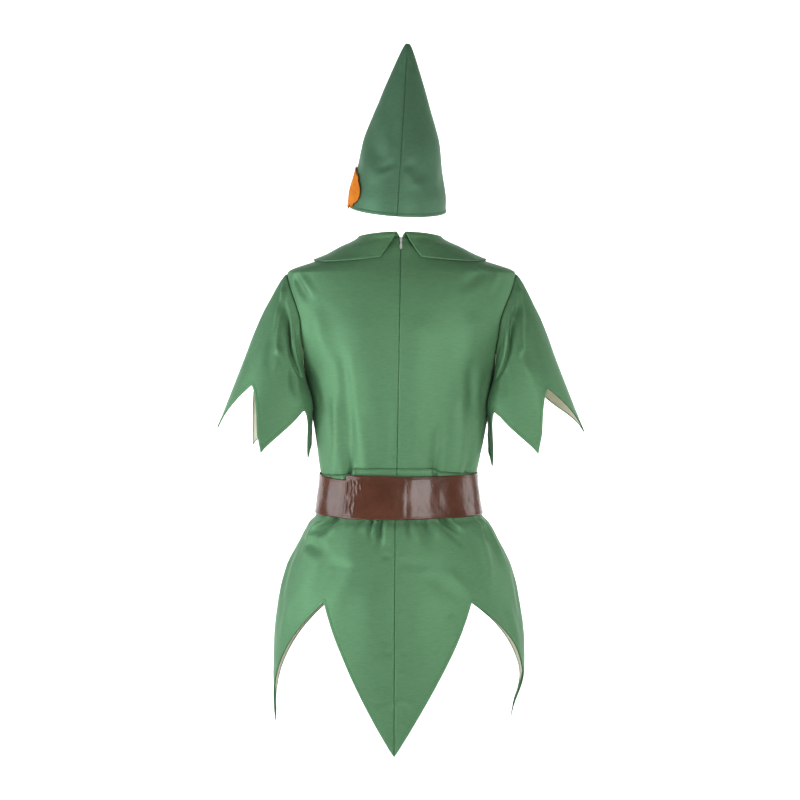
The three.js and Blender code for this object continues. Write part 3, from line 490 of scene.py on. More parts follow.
def stitches(name, lines, finish, length, pitch, thick):
    """Rows of separate stitches, each a short pinched thread that dips into the cloth at both ends."""
    spots, faces = [], []
    for places, outs in lines:
        if len(places) < 2:
            continue
        middles, ways, normals = along_line(places, outs, pitch, pitch / 2)
        for middle, way, normal in zip(middles, ways, normals):
            across = unit(np.cross(normal, way))
            round_thread = [across * math.cos(turn) + normal * math.sin(turn) * 0.8 for turn in turns(5)]
            rings = []
            for share, girth, dip in STITCH_RINGS:
                core = middle + way * length * share + normal * (STITCH_LIFT + dip * thick)
                rings.append([core + out * thick / 2 * girth for out in round_thread])
            add_tube(spots, faces, rings)
    return new_mesh(name, np.array(spots), faces, [finish])


# Places near a seam are close together, so that the cloth can turn in there.
BESIDE_SEAM = np.array([0, 0.35, 0.75, 1.25, 1.9, 2.8, 4.2, 6.2, 9])


def seam_spread(length, count, squeeze=1):
    """Distances across a panel from 0 to its length, close together beside both seams."""
    near = BESIDE_SEAM * squeeze
    between = np.linspace(near[-1], length - near[-1], count)[1:-1]
    return np.concatenate([near, between, length - near[::-1]])


# Bodice
ARMHOLE_TURN = 28
# Steps along a bodice panel's edge: where the shoulder seam, the armhole and the side seam end.
SHOULDER_STEP = 3
UNDERARM_STEP = 15
LAST_STEP = 20
WAIST_SEAM = [
    (-90, -428), (-72, -428.5), (-44, -426), (-38.5, -424), (-34.5, -414), (-20, -412.7), (0, -412.6),
    (22, -413), (27, -414.2), (30, -419), (45, -422), (66, -426), (90, -428),
]


def armhole_spot(side, arm):
    middle = (SHOULDER + UNDERARM) / 2
    reach = (SHOULDER - UNDERARM) / 2
    narrow = 1 - 0.45 * np.maximum(0, cosine(arm)) ** 1.5
    return side * (90 - ARMHOLE_TURN * sine(arm) * narrow), middle + reach * cosine(arm)


def bodice_edge(side, front, step):
    """A bodice panel's outer edge: along the shoulder seam, round the armhole, down the side seam."""
    arm = 180 * np.clip((step - SHOULDER_STEP) / (UNDERARM_STEP - SHOULDER_STEP), 0, 1)
    angle, z = armhole_spot(side, 360 - arm if front else arm)
    on_shoulder, on_side = step < SHOULDER_STEP, step > UNDERARM_STEP
    z = np.where(on_shoulder, mix(NECK["side"], SHOULDER, step / SHOULDER_STEP), z)
    down = (step - UNDERARM_STEP) / (LAST_STEP - UNDERARM_STEP)
    z = np.where(on_side, mix(UNDERARM, WAIST["side"], down), z)
    return np.where(on_shoulder | on_side, side * 90, angle), z


def back_rise(share):
    return np.sin(np.pi / 2 * share) ** 2


def front_rise(share):
    return 1 - (1 - np.clip(share, 0, 1) ** 1.15) ** 2.9


def middle_height(step, edge_z, top, bottom):
    by_height = (NECK["side"] - edge_z) / (NECK["side"] - WAIST["side"])
    return mix(top, bottom, (by_height + step / LAST_STEP) / 2)


def waist_height(angle):
    turn = np.abs(angle)
    angles, heights = zip(*WAIST_SEAM)
    front = mix(WAIST["front"], WAIST["side"], front_rise((180 - turn) / 90))
    return np.where(turn <= 90, np.interp(angle, angles, heights), front)


def neck_height(angle):
    turn = np.abs(angle)
    back = mix(NECK["back"], NECK["side"], back_rise(np.minimum(turn, 90) / 90))
    front = mix(NECK["front"], NECK["side"], front_rise((180 - turn) / 90))
    return np.where(turn <= 90, back, front)


def bodice_steps():
    return np.concatenate([
        np.linspace(0, SHOULDER_STEP, 17)[:-1],
        np.linspace(SHOULDER_STEP, UNDERARM_STEP, 73)[:-1],
        np.linspace(UNDERARM_STEP, LAST_STEP, 46),
    ])


def bodice_rows(side, front, count):
    """Angles and heights of a half of the bodice, row by row, from its middle to its edge."""
    step = bodice_steps()[:, None]
    end_angle, end_z = bodice_edge(side, front, step)
    top, bottom = (NECK["front"], WAIST["front"]) if front else (NECK["back"], WAIST["back"])
    middle_z = middle_height(step, end_z, top, bottom)
    middle_angle = side * 180.0 if front else 0.0
    reach = (BODICE_RINGS.at("half", end_z) + BODICE_RINGS.at("back", end_z)) / 2
    length = np.radians(np.abs(end_angle - middle_angle)) * reach
    share = np.stack([seam_spread(x, count) / x for x in length[:, 0]])
    angle = mix(middle_angle, end_angle, share)
    z = mix(middle_z, end_z, (front_rise if front else back_rise)(share))
    low = smooth(UNDERARM_STEP + 0.5, LAST_STEP, step)
    return angle, mix(z, waist_height(angle), low)


def seamed(form, angle, z, seam_sides):
    """A panel's places and normals, with half a seam's gap beside its first and its last column."""
    along, _, normals = form.frame(angle, z)
    gap = np.zeros(angle.shape)
    gap[:, 0], gap[:, -1] = (side * SEAM_GAP / 2 for side in seam_sides)
    return form.spot(angle, z) + along * gap[..., None], normals


def bodice_panel(name, angle, z, seam_sides, satin):
    spots, normals = seamed(BODICE, angle, z, seam_sides)
    outer, inner, _, folded = shaped(spots, normals, seams=[spots[:, 0], spots[:, -1], spots[-1]])
    return wall(name, outer, inner, materials=satin, folded=folded)


def bodice_back(name, side, satin):
    return bodice_panel(name, *bodice_rows(side, False, 46), (side, -side), satin)


def bodice_front(satin):
    keep = len(BESIDE_SEAM)  # the front's middle has no seam, so its close places are dropped there
    angle, z = (
        np.concatenate([left[:, keep - 1:][:, ::-1], right[:, keep:]], axis=1)
        for left, right in zip(bodice_rows(-1, True, 40), bodice_rows(1, True, 40)))
    return bodice_panel("satin_bodice_front", angle, z, (-1, 1), satin)


# Skirt
HEM_NOTCH = {"angle": 37, "z": -652, "front_z": -688}
HEM_POINTS = {"back": (-925, 1.08), "right": (-883, 0.6), "left": (-893, 0.72), "front": (-914, 1.06)}
ABOVE_NOTCH = -635


def hem_height(angle):
    """The hem's height round the skirt: four points with notches between them."""
    turn = np.abs(angle)
    from_middle = np.minimum(turn, 180 - turn)
    notch = np.where(turn < 90, HEM_NOTCH["z"], HEM_NOTCH["front_z"])

    def rise(name, share):
        tip, bow = HEM_POINTS[name]
        return mix(tip, notch, np.clip(share, 0, 1) ** bow)

    inner = from_middle / HEM_NOTCH["angle"]
    outer = (90 - from_middle) / (90 - HEM_NOTCH["angle"])
    middle = np.where(turn < 90, rise("back", inner), rise("front", inner))
    side = np.where(angle < 0, rise("left", outer), rise("right", outer))
    return np.where(from_middle < HEM_NOTCH["angle"], middle, side)


def skirt_angles(middle_seam):
    """Angles from the middle of the back or front to the side seam, close together beside the seams."""
    near = np.degrees(BESIDE_SEAM / 160)
    to_notch = np.linspace(0, HEM_NOTCH["angle"], 42)
    to_side = 90 - (90 - HEM_NOTCH["angle"]) * (1 - np.linspace(0, 1, 46)) ** 1.4
    between = np.concatenate([to_notch, to_side[1:]])
    inside = (between > (near[-1] if middle_seam else 0.01)) & (between < 90 - near[-1])
    start = near if middle_seam else [0.0]
    return np.concatenate([start, between[inside], 90 - near[::-1]])


def skirt_panel(name, angles, seam_sides, satin):
    """A skirt panel by its columns' angles."""
    upper = np.concatenate([np.linspace(0, 0.42, 18), np.linspace(0.42, 1, 44)[1:]])
    lower = 1 - (1 - np.linspace(0, 1, 58 if "front" in name else 112)) ** 1.4
    top = waist_height(angles) - SEAM_GAP
    body = mix(top[None, :], ABOVE_NOTCH, upper[:, None])
    flap = mix(ABOVE_NOTCH, hem_height(angles)[None, :], lower[1:, None])
    z = np.concatenate([body, flap])
    spots, normals = seamed(SKIRT, np.broadcast_to(angles, z.shape), z, seam_sides)
    seams = [spots[:, 0], spots[:, -1], spots[0]]
    outer, inner, hem, folded = shaped(spots, normals, seams, hems=[spots[-1]], pucker=1.2)
    made = wall(name, outer, inner, materials=satin, folded=folded)
    return made, inset_line(outer, normals, hem, HEM)


# Sleeves. Angles go round the arm: 0 over it, 90 at the back, 180 under it, 270 in front.
CUFF = {"x": 235, "z": -276, "half": 73, "depth": 84, "tilt": 24, "body_side": 1.13, "clear": 3}
CUFF_MARGIN = 2
FLARE = {"over": 21.5, "under": 3, "depth": 4}
# Points and notches of each cuff: the place round the arm, the angle it hangs at, its reach and its bow.
SLEEVE_POINTS = {
    "left": [
        (15, 5, 102, 1), (60, 57, 0, 1.6), (105, 97, 106, 0.8), (150, 127, 3, 1.5),
        (195, 173, 88, 0.65), (240, 224, 4, 1.7), (285, 278, 114, 1), (330, 308, 0, 1),
    ],
    "right": [
        (15, 2, 110, 1), (60, 60, 5, 1.6), (105, 98, 107, 0.8), (150, 129, 3, 1.5),
        (195, 175, 104, 0.65), (240, 222, 4, 1.8), (285, 262, 100, 1), (330, 296, 20, 0.7),
    ],
}
# Folds of a sleeve: the angles, then the shares of its length, at both ends, the width and the depth.
SLEEVE_FOLDS = [
    (62, 122, 0.2, 0.42, 9, -8), (44, 76, 0.1, 0.5, 8, 5), (298, 238, 0.2, 0.42, 9, -7),
]
# Creases of each sleeve: angle and share of its length at both ends, width and depth.
SLEEVE_CREASES = {
    "left": [
        (34, 0.02, 62, 0.46, 4, 2.6), (44, 0.04, 66, 0.44, 5, -2.2), (60, 0.14, 118, 0.44, 5, -4.5),
        (84, 0.12, 118, 0.32, 4, 2), (60, 0.42, 74, 0.8, 9, -1.6), (86, 0.5, 96, 0.86, 9, 1.5),
        (34, 0.95, 46, 0.55, 6, -1.8), (110, 0.4, 128, 0.95, 8, -2.2), (8, 0.3, 20, 0.9, 12, 1.2),
        (330, 0.1, 292, 0.5, 6, -2), (310, 0.5, 286, 0.95, 9, -1.6), (270, 0.45, 262, 0.9, 10, 1.5),
    ],
    "right": [
        (30, 0.02, 66, 0.4, 4, 2.4), (42, 0.04, 72, 0.4, 5, -2.2), (58, 0.1, 116, 0.44, 5, -4.5),
        (84, 0.1, 112, 0.3, 4, 2), (36, 0.18, 58, 0.46, 5, -1.4), (64, 0.46, 70, 0.85, 10, -1.4),
        (88, 0.48, 84, 0.9, 9, 1.4), (112, 0.4, 126, 0.95, 8, -2), (10, 0.35, 16, 0.9, 12, 1.2),
        (326, 0.1, 288, 0.5, 6, -2), (304, 0.5, 280, 0.95, 9, -1.5), (262, 0.5, 256, 0.9, 10, 1.4),
    ],
}
SLEEVE_LENGTH = 190
SLEEVE_REACH = 75


def cuff_place(name, arm):
    """Where a line of the sleeve ends: the angle it hangs at, and its reach past the cuff ring."""
    first, *rest = SLEEVE_POINTS[name]
    again = (first[0] + 360, first[1] + 360, *first[2:])
    starts, angles, reaches, bows = np.array([first, *rest, again], float).T
    place = (arm - first[0]) % 360 + first[0]
    i = np.clip(np.searchsorted(starts, place, side="right") - 1, 0, len(starts) - 2)
    t = (place - starts[i]) / (starts[i + 1] - starts[i])
    return mix(angles[i], angles[i + 1], t), mix(reaches[i], reaches[i + 1], t ** bows[i])


def sleeve_line(side, arm, cuff_angle):
    """A sleeve line's seam, the way into the armhole, its start, its end on the cuff ring and the way on."""
    angle, z = armhole_spot(side, arm)
    along, up, normal = PLAIN_BODICE.frame(angle, z)
    into_hole = unit(along * (side * sine(arm))[..., None] - up * cosine(arm)[..., None])
    seam = PLAIN_BODICE.spot(angle, z)
    start = seam + normal * (SEAM_GAP + 0.1) + into_hole * SEAM_GAP
    over_cuff, round_cuff = cosine(cuff_angle), sine(cuff_angle)
    tucked = CUFF["body_side"] * np.sin(np.pi / 2 * over_cuff)
    across = np.where(over_cuff > 0, over_cuff, tucked)
    end = point(
        side * (CUFF["x"] + CUFF["half"] * across * cosine(CUFF["tilt"])),
        -CUFF["depth"] * round_cuff,
        CUFF["z"] + CUFF["half"] * across * sine(CUFF["tilt"]),
    )
    lean = mix(FLARE["under"], FLARE["over"], ((1 + over_cuff) / 2) ** 0.3)
    run = unit(point(side * sine(lean), -round_cuff * math.tan(math.radians(FLARE["depth"])), -cosine(lean)))
    return seam, into_hole, start, end, run


def sleeve_folds(arm, share):
    push = 0
    for start_arm, end_arm, start_share, end_share, width, depth in SLEEVE_FOLDS:
        t = np.clip((arm - start_arm) / (end_arm - start_arm), 0, 1)
        off_share = (share - mix(start_share, end_share, t)) * SLEEVE_LENGTH / width
        off_arm = np.radians(arm - mix(start_arm, end_arm, t)) * SLEEVE_REACH / (2 * width)
        push = push + depth * np.exp(-(off_share**2) - off_arm**2)
    return push * smooth(0, 0.12, share)


def beside_tunic(side, spots, share):
    """A sleeve's inner side lies against the tunic, a little off it."""
    z = np.minimum(spots[..., 2], UNDERARM)
    off = np.minimum(1, np.abs(spots[..., 1]) / ring_depth(BODICE_RINGS, z, spots[..., 1] < 0))
    middle = BODICE_RINGS.at("shift", z)
    least = BODICE_RINGS.at("half", z) * np.sqrt(1 - off**2) + (CUFF["clear"] + CLOTH) * share
    away = side * (spots[..., 0] - middle)
    low = (spots[..., 2] < UNDERARM) & (away < least)
    spots[..., 0] = np.where(low, middle + side * least, spots[..., 0])
    return spots


def sleeve_spot(name, side, arm, share, reach):
    """A smooth curve from the armhole to the cuff ring and straight on into the points, with its creases."""
    cuff_angle, _ = cuff_place(name, arm)
    _, _, start, end, run = sleeve_line(side, arm, cuff_angle)
    length = np.linalg.norm(end - start, axis=-1)[..., None]
    cap = np.maximum(0, cosine(arm))[..., None] ** 2
    straight = unit(end - start)
    leave = unit(mix(straight, np.array([side * 0.85, 0, -0.45]), 0.75 * cap))
    gain = mix(1, 0.42, cap) * length
    t = np.minimum(share, 1)[..., None]
    spots = (
        start * (2 * t**3 - 3 * t**2 + 1)
        + leave * gain * (t**3 - 2 * t**2 + t)
        + end * (3 * t**2 - 2 * t**3)
        + run * length * (t**3 - t**2)
    )
    spots = spots + run * (reach * np.maximum(share - 1, 0))[..., None]
    top = np.array([side * 190, -4, (SHOULDER + UNDERARM) / 2])
    centre = mix(top, np.array([side * CUFF["x"], 0, CUFF["z"]]), t)
    outward = spots - centre
    outward = unit(outward - run * (outward * run).sum(-1, keepdims=True))
    down = np.minimum(share, 1) * SLEEVE_LENGTH + reach * np.maximum(share - 1, 0)
    creases = np.array(SLEEVE_CREASES[name]) * [1, SLEEVE_LENGTH, 1, SLEEVE_LENGTH, 1, 1]
    creased = CREASE_STRENGTH * crease_push(creases, arm, down, SLEEVE_REACH, 0.35)
    push = sleeve_folds(arm, share) + creased * smooth(0.02, 0.12, share)
    spots = spots + outward * push[..., None]
    return beside_tunic(side, spots, smooth(0, 0.15, share))


def sleeve(name, satin):
    side = -1 if name == "left" else 1
    upper = np.concatenate([[0, 0.002, 0.005, 0.009, 0.015, 0.024], np.linspace(0.04, 1, 52)])
    lower = 1 + (1 - (1 - np.linspace(0, 1, 48)) ** 1.6)[1:]
    share, arm = np.meshgrid(np.concatenate([upper, lower]), np.arange(0, 360, 2.5), indexing="ij")
    reach = cuff_place(name, arm)[1] + CUFF_MARGIN

    def spot(arm, share):
        return sleeve_spot(name, side, arm, share, reach)

    spots = spot(arm, share)
    round_arm = unit(spot(arm + 1, share) - spot(arm - 1, share))
    along_arm = unit(spot(arm, share + 0.01) - spot(arm, np.maximum(share - 0.01, 0)))
    normals = unit(np.cross(round_arm, along_arm)) * side
    closed = np.concatenate([spots, spots[:, :1]], axis=1)
    seam, hem = closed[0], closed[-1]
    outer, inner, hem_distance, folded = shaped(spots, normals, [seam], hems=[hem], pucker=1.4)
    edge, into_hole = sleeve_line(side, arm[0], cuff_place(name, arm[0])[0])[:2]
    for r in range(12):  # the rows nearest the seam stay inside the armhole
        for face in (outer, inner):
            into = ((face[r] - edge) * into_hole).sum(-1)
            face[r] += into_hole * np.maximum(0, SEAM_GAP - into)[:, None] * (1 if r < 8 else 0.5)
    made = wall(f"satin_sleeve_{name}", outer, inner, looped=True, materials=satin, folded=folded)
    return made, inset_line(outer, normals, hem_distance, HEM)


# Collar: a stand that rises from the neckline, rolls over and falls on the shoulders.
STAND = {"back": 7.5, "side": 9.5, "front": 6}
FALL = {"back": 40, "side": 92, "front": 74}
COLLAR_LIFT = 2.4
COLLAR_ROLL = 6
COLLAR_STARTS = (1.2, 7.5, 14.5)  # angles of the back ends at the neck, the fold and the edge
COLLAR_ENDS = (1.2, 5, 9)
COLLAR_INSET = 5
FOLD_AT = 3 / 8


def by_turn(angle, sizes):
    turn = np.abs(angle)
    behind = mix(sizes["back"], sizes["side"], smooth(0, 60, turn))
    ahead = mix(sizes["side"], sizes["front"], smooth(100, 175, turn))
    return np.where(turn <= 90, behind, ahead)


def collar_profile(angle):
    """The collar's profile at each angle, as nine places from the neck seam over the fold to the edge."""
    neck_z = neck_height(angle)
    neck = PLAIN_BODICE.spot(angle, neck_z)
    after = PLAIN_BODICE.spot(angle + 1, neck_height(angle + 1))
    before = PLAIN_BODICE.spot(angle - 1, neck_height(angle - 1))
    round_neck = unit((after - before) * [1, 1, 0])
    away = point(round_neck[..., 1], -round_neck[..., 0], 0)
    stand, fall = by_turn(angle, STAND), by_turn(angle, FALL)

    def raised(out, up):
        return neck + away * out + point(0 * angle, 0 * angle, up + 0 * angle)

    places = [
        raised(-COLLAR_CLOTH - 1.9, -2.2),
        raised(-COLLAR_CLOTH - 1.4, stand * 0.5),
        raised(-0.8, stand),
        raised(2.4, stand + 2.6),
    ]
    drops = np.arange(0, 140, 0.5)
    down = neck_z[..., None] - drops
    path = PLAIN_BODICE.spot(angle[..., None], down)
    steps = np.linalg.norm(np.diff(path, axis=-2), axis=-1)
    walked = np.concatenate([np.zeros(angle.shape + (1,)), np.cumsum(steps, axis=-1)], axis=-1)
    for stop in (0, 0.14, 0.4, 0.7, 1):
        wanted = (stop * fall)[..., None]
        at = np.argmax(walked >= wanted, axis=-1)[..., None]
        z = np.take_along_axis(down, at, axis=-1)[..., 0]
        length = np.take_along_axis(walked, at, axis=-1)[..., 0]
        normal = PLAIN_BODICE.frame(angle, z)[2]
        lift = COLLAR_LIFT + COLLAR_CLOTH + COLLAR_ROLL * np.exp(-length / 26)
        places.append(PLAIN_BODICE.spot(angle, z) + normal * lift[..., None])
    return np.stack(places, axis=-2)


def through(places, share):
    """A smooth centripetal curve through places at a share of the way from the first to the last."""
    count = places.shape[-2]
    at = share * (count - 1)
    i = np.clip(np.floor(at), 0, count - 2).astype(int)

    def place(k):
        k = np.broadcast_to(k, i.shape)
        inside = np.take_along_axis(places, np.clip(k, 0, count - 1)[..., None, None], axis=-2)[..., 0, :]
        first = 2 * places[..., 0, :] - places[..., 1, :]
        last = 2 * places[..., -1, :] - places[..., -2, :]
        inside = np.where((k < 0)[..., None], first, inside)
        return np.where((k > count - 1)[..., None], last, inside)

    p0, p1, p2, p3 = place(i - 1), place(i), place(i + 1), place(i + 2)

    def gap(a, b):
        return np.maximum(np.linalg.norm(b - a, axis=-1, keepdims=True) ** 0.5, 1e-4)

    d0, d1, d2 = gap(p0, p1), gap(p1, p2), gap(p2, p3)
    t1 = ((p1 - p0) / d0 - (p2 - p0) / (d0 + d1) + (p2 - p1) / d1) * d1
    t2 = ((p2 - p1) / d1 - (p3 - p1) / (d1 + d2) + (p3 - p2) / d2) * d1
    w = (at - i)[..., None]
    return p1 + t1 * w + (-3 * p1 + 3 * p2 - 2 * t1 - t2) * w**2 + (2 * p1 - 2 * p2 + t1 + t2) * w**3


COLLAR_ANGLES = np.arange(0, 181.5, 1.5)
COLLAR_PROFILES = {side: collar_profile(side * COLLAR_ANGLES) for side in (-1, 1)}


def collar_spot(side, u, v):
    def end(angles):
        neck, fold, edge = angles
        to_fold = mix(neck, fold, v / FOLD_AT)
        to_edge = mix(fold, edge, (v - FOLD_AT) / (1 - FOLD_AT))
        return np.where(v < FOLD_AT, to_fold, to_edge)

    angle = side * mix(end(COLLAR_STARTS), 180 - end(COLLAR_ENDS), u)
    profiles = COLLAR_PROFILES[side].reshape(len(COLLAR_ANGLES), -1)
    places = [np.interp(np.abs(angle), COLLAR_ANGLES, column) for column in profiles.T]
    return through(np.stack(places, axis=-1).reshape(*angle.shape, -1, 3), v)


def collar(name, satin):
    side = -1 if name == "left" else 1
    length = 300
    u = seam_spread(length, 74) / length
    near_edge = 1 - 0.1 * (1 - np.linspace(0, 1, 14)[1:]) ** 1.4
    v = np.concatenate([np.linspace(0, 0.36, 12), np.linspace(0.36, 0.5, 12)[1:],
                        np.linspace(0.5, 0.9, 26)[1:], near_edge])
    v, u = np.meshgrid(v, u, indexing="ij")
    spots = collar_spot(side, u, v)
    nudge = 0.006

    def both_ways(value):
        return np.minimum(value + nudge, 1), np.maximum(value - nudge, 0)

    across = np.subtract(*(collar_spot(side, near, v) for near in both_ways(u)))
    down = np.subtract(*(collar_spot(side, u, near) for near in both_ways(v)))
    normals = unit(np.cross(across, down)) * -side
    fold_row = int(np.argmax(v[:, 0] >= FOLD_AT))
    edge = np.concatenate([spots[fold_row:, 0], spots[-1, 1:-1], spots[fold_row:, -1][::-1]])
    distance = distance_to(spots, edge)
    rounded = 0.5 * bell(distance, 0.7)
    stitched = 0.22 * bell(distance - COLLAR_INSET, 0.9) * smooth(0, 3, distance)
    pressed = 0.15 * smooth(0.5, 2, distance) * (1 - smooth(4, 6, distance))
    outer = spots + normals * (pressed - rounded - stitched)[..., None]
    inner = outer - normals * COLLAR_CLOTH
    made = wall(f"satin_collar_{name}", outer, inner, materials=satin[:1])
    return made, collar_stitching(outer, normals, distance, fold_row)


def collar_stitching(outer, normals, distance, fold_row):
    """The topstitched line: down one end, along the edge and up the other end."""
    fall = [part[fold_row:] for part in (outer, normals, distance)]
    third = distance.shape[1] // 3
    ends = [[part[:, :third] for part in fall], [part[:, ::-1][:, :third] for part in fall]]
    lines = [inset_line(*sideways(end), COLLAR_INSET, backwards=False) for end in ends]
    return [*lines, inset_line(*fall, COLLAR_INSET)]


# Belt: one strip round the waist whose free end lies on its start.
BELT = {"start": 7, "end": -400, "lift": 1.6, "rise": 26, "reach": 128, "width": 76}
BELT_INSET = 4.5  # how far inside its edge the belt is stitched
BELT_SEAM = -353  # where the belt is stitched through to the layer below


def belt_heights(sweep):
    """The belt's edges. Its start dips under the free end."""
    under = smooth(-100, -44, sweep)
    top = BELT_TOP - 7 * under + 1.4 * smooth(-352, -372, sweep)
    raised = 3 * smooth(-60, -110, sweep) * smooth(-220, -150, sweep)
    return top, BELT_BOTTOM + raised - 1.2 * smooth(-330, -352, sweep)


def belt_spot(sweep, z):
    normal = SMOOTH_SKIRT.frame(sweep, z)[2] * [1, 1, 0.3]
    over_start = BELT["start"] - 360
    step = BELT_CLOTH + 0.6 + 2.2 * (smooth(-374, -389, sweep) - smooth(-390, -400, sweep))
    up = smooth(0, 1, (over_start + BELT["rise"] - sweep) / BELT["rise"])
    lift = BELT["lift"] + BELT_CLOTH + step * up
    return SMOOTH_SKIRT.spot(sweep, z) + unit(normal) * lift[..., None]


# Dents of the belt's coating: sweep, height, half its size round and up, the depth outwards.
BELT_DENTS = [
    (-346, -460, 9, 26, -1.1), (-337, -452, 6, 16, 0.9), (-330, -476, 5, 18, -0.8), (-354, -470, 7, 22, 0.8),
    (-327, -445, 4, 9, -0.5), (-322, -464, 6, 22, 0.7), (-366, -462, 8, 26, 0.7), (-378, -475, 7, 20, -0.5),
    (-52, -462, 6, 26, -1.0), (-62, -470, 7, 22, 0.8), (-75, -455, 8, 24, -0.8), (-88, -466, 9, 26, 0.6),
    (-110, -470, 9, 24, -0.7), (-132, -458, 9, 22, 0.7), (-160, -466, 10, 26, -0.8), (-186, -460, 9, 24, 0.7),
    (-212, -468, 10, 24, -0.7), (-240, -456, 9, 22, 0.7), (-262, -466, 8, 26, -0.8), (-284, -460, 8, 24, 0.7),
    (-303, -470, 7, 24, -0.7), (-312, -452, 5, 16, 0.5),
]
# Crumples of the free end: sweep and height at both ends, width, depth.
END_CRUMPLES = [
    (-397.6, -432, -397.2, -470, 1.1, -0.9), (-396.2, -468, -397.2, -502, 1.2, -0.8),
    (-395.4, -430, -393.8, -452, 1.3, 0.9), (-393.2, -446, -395.8, -474, 1.2, 0.8),
    (-391.6, -458, -393.6, -492, 1.6, -0.8), (-392.4, -432, -388.6, -446, 1.8, -0.8),
    (-395.6, -478, -391.8, -500, 1.3, 0.9), (-389.6, -470, -391.2, -498, 1.6, 0.6),
    (-386.4, -440, -385.6, -452, 1.6, 0.6), (-389.4, -440, -388.2, -462, 2, 0.7),
]


def belt_relief(sweep, z, reach):
    push = np.zeros(sweep.shape)
    for middle, height, wide, tall, depth in BELT_DENTS:
        push += depth * np.exp(-(((sweep - middle) / wide) ** 2) - ((z - height) / tall) ** 2)
    push += 1.8 * crease_push(END_CRUMPLES, sweep, z, reach, rise=0.3) * smooth(-382, -388, sweep)
    across = np.radians(sweep - BELT_SEAM) * reach
    push -= 1.3 * bell(across, 1.5) - 0.6 * bell(across + 3.6, 2.2)
    return push


def belt(coated):
    start, end = BELT["start"], BELT["end"]
    reach, width = BELT["reach"], BELT["width"]
    span = np.radians(start - end) * reach
    near = np.array([0, 0.4, 0.9, 1.6, 2.6, 4])
    coarse = np.linspace(4, span - 48, 250)
    fine = np.linspace(span - 48, span - 4, 60)[1:-1]
    run = np.concatenate([near[:-1], coarse, fine, span - near[::-1]])
    sweep = start - np.degrees(run / reach)
    at_edge = np.array([0, 0.3, 0.8, 1.5, 2.5, 4]) / width
    rows = np.concatenate([at_edge, np.linspace(7, 69, 24) / width, 1 - at_edge[::-1]])
    top, bottom = belt_heights(sweep)
    z = mix(top[None, :], bottom[None, :], rows[:, None])
    sweep = np.broadcast_to(sweep, z.shape)
    spots = belt_spot(sweep, z)
    round_belt = belt_spot(sweep + 0.5, z) - belt_spot(sweep - 0.5, z)
    down = belt_spot(sweep, z - 1) - belt_spot(sweep, z + 1)
    normals = unit(np.cross(down, round_belt))
    edge = np.concatenate([spots[0], spots[1:, -1], spots[-1][::-1], spots[1:, 0][::-1]])
    distance = distance_to(spots, edge)
    rolled = 0.9 * bell(distance, 1.1)
    stitched = 0.4 * bell(distance - BELT_INSET, 0.9)
    push = belt_relief(sweep, z, reach) * mix(0.35, 1, smooth(0, 6, distance)) - rolled - stitched
    outer = spots + normals * np.minimum(push, 1.4)[..., None]
    inner = spots - normals * (BELT_CLOTH - 0.2 + rolled * 0.5)[..., None]
    made = wall("coated_belt", outer, inner, materials=coated)
    face = (outer, normals, distance)
    edges = [inset_line(*face, BELT_INSET), inset_line(*face, BELT_INSET, backwards=False)]
    free_end = inset_line(*sideways(part[:, -30:] for part in face), BELT_INSET)
    column = int(np.argmin(np.abs(sweep[0] - BELT_SEAM)))
    return made, [*edges, free_end, (outer[:, column], normals[:, column])]


# Hat, in its own frame: the rim's middle is its origin, and it leans.
HAT = {"x": -4.8, "z": 61.5, "lean_side": 3.6, "lean_back": 10.5}
HAT_RINGS = Measures("half depth point", [
    (0, 90, 103, 2),
    (24, 89, 101, 2),
    (56, 82.5, 95, 1.95),
    (80, 77.5, 90, 1.9),
    (104, 74, 84, 1.85),
    (126, 70, 77, 1.8),
    (156, 60.5, 66, 1.75),
    (186, 49.5, 54, 1.7),
    (214, 40, 43, 1.7),
    (253, 25.5, 27, 1.75),
    (285, 13, 13.5, 1.9),
    (298, 7, 7, 2),
    (303, 3.4, 3.4, 2),
])
HAT_TOP = 303
HAT_CREASES = [
    (-72, 136, -2, 76, 17, -2.3), (-80, 160, -24, 112, 17, -1.3), (-70, 96, -8, 50, 17, 1.7),
    (-34, 78, -1, 100, 6, -1.3), (-30, 68, -1, 90, 6, 1.1), (4, 96, 50, 66, 11, -1.8),
    (3, 74, 40, 86, 9, 1.3), (10, 64, 40, 52, 9, 1.3), (24, 140, 52, 96, 14, 1.4),
    (-8, 120, -30, 190, 12, -1.2), (60, 40, 84, 90, 14, -1.6), (130, 110, 168, 76, 15, -2.4),
    (-130, 96, -166, 66, 14, -2.0), (150, 60, 120, 30, 12, 1.5), (-100, 150, -140, 190, 12, -1.3),
    (-6, 246, -40, 262, 7, -0.8), (8, 262, 50, 276, 6, -0.7),
]


def leaned(spots):
    """From the hat's own frame to the costume's."""
    side, back = math.radians(HAT["lean_side"]), math.radians(HAT["lean_back"])
    x, y, z = spots[..., 0], spots[..., 1], spots[..., 2]
    x, z = x * math.cos(side) + z * math.sin(side), z * math.cos(side) - x * math.sin(side)
    y, z = y * math.cos(back) - z * math.sin(back), y * math.sin(back) + z * math.cos(back)
    return point(x + HAT["x"], y, z + HAT["z"])


def leaned_way(ways):
    return leaned(ways) - leaned(np.zeros(3))


def hat_ring(angle, z):
    half, depth = HAT_RINGS.at("half", z), HAT_RINGS.at("depth", z)
    power = 2 / HAT_RINGS.at("point", z)

    def bent(value):
        return np.sign(value) * np.abs(value) ** power

    return point(half * bent(sine(angle)), -depth * bent(cosine(angle)), z)


def hat_reach(z):
    return (HAT_RINGS.at("half", z) + HAT_RINGS.at("depth", z)) / 2


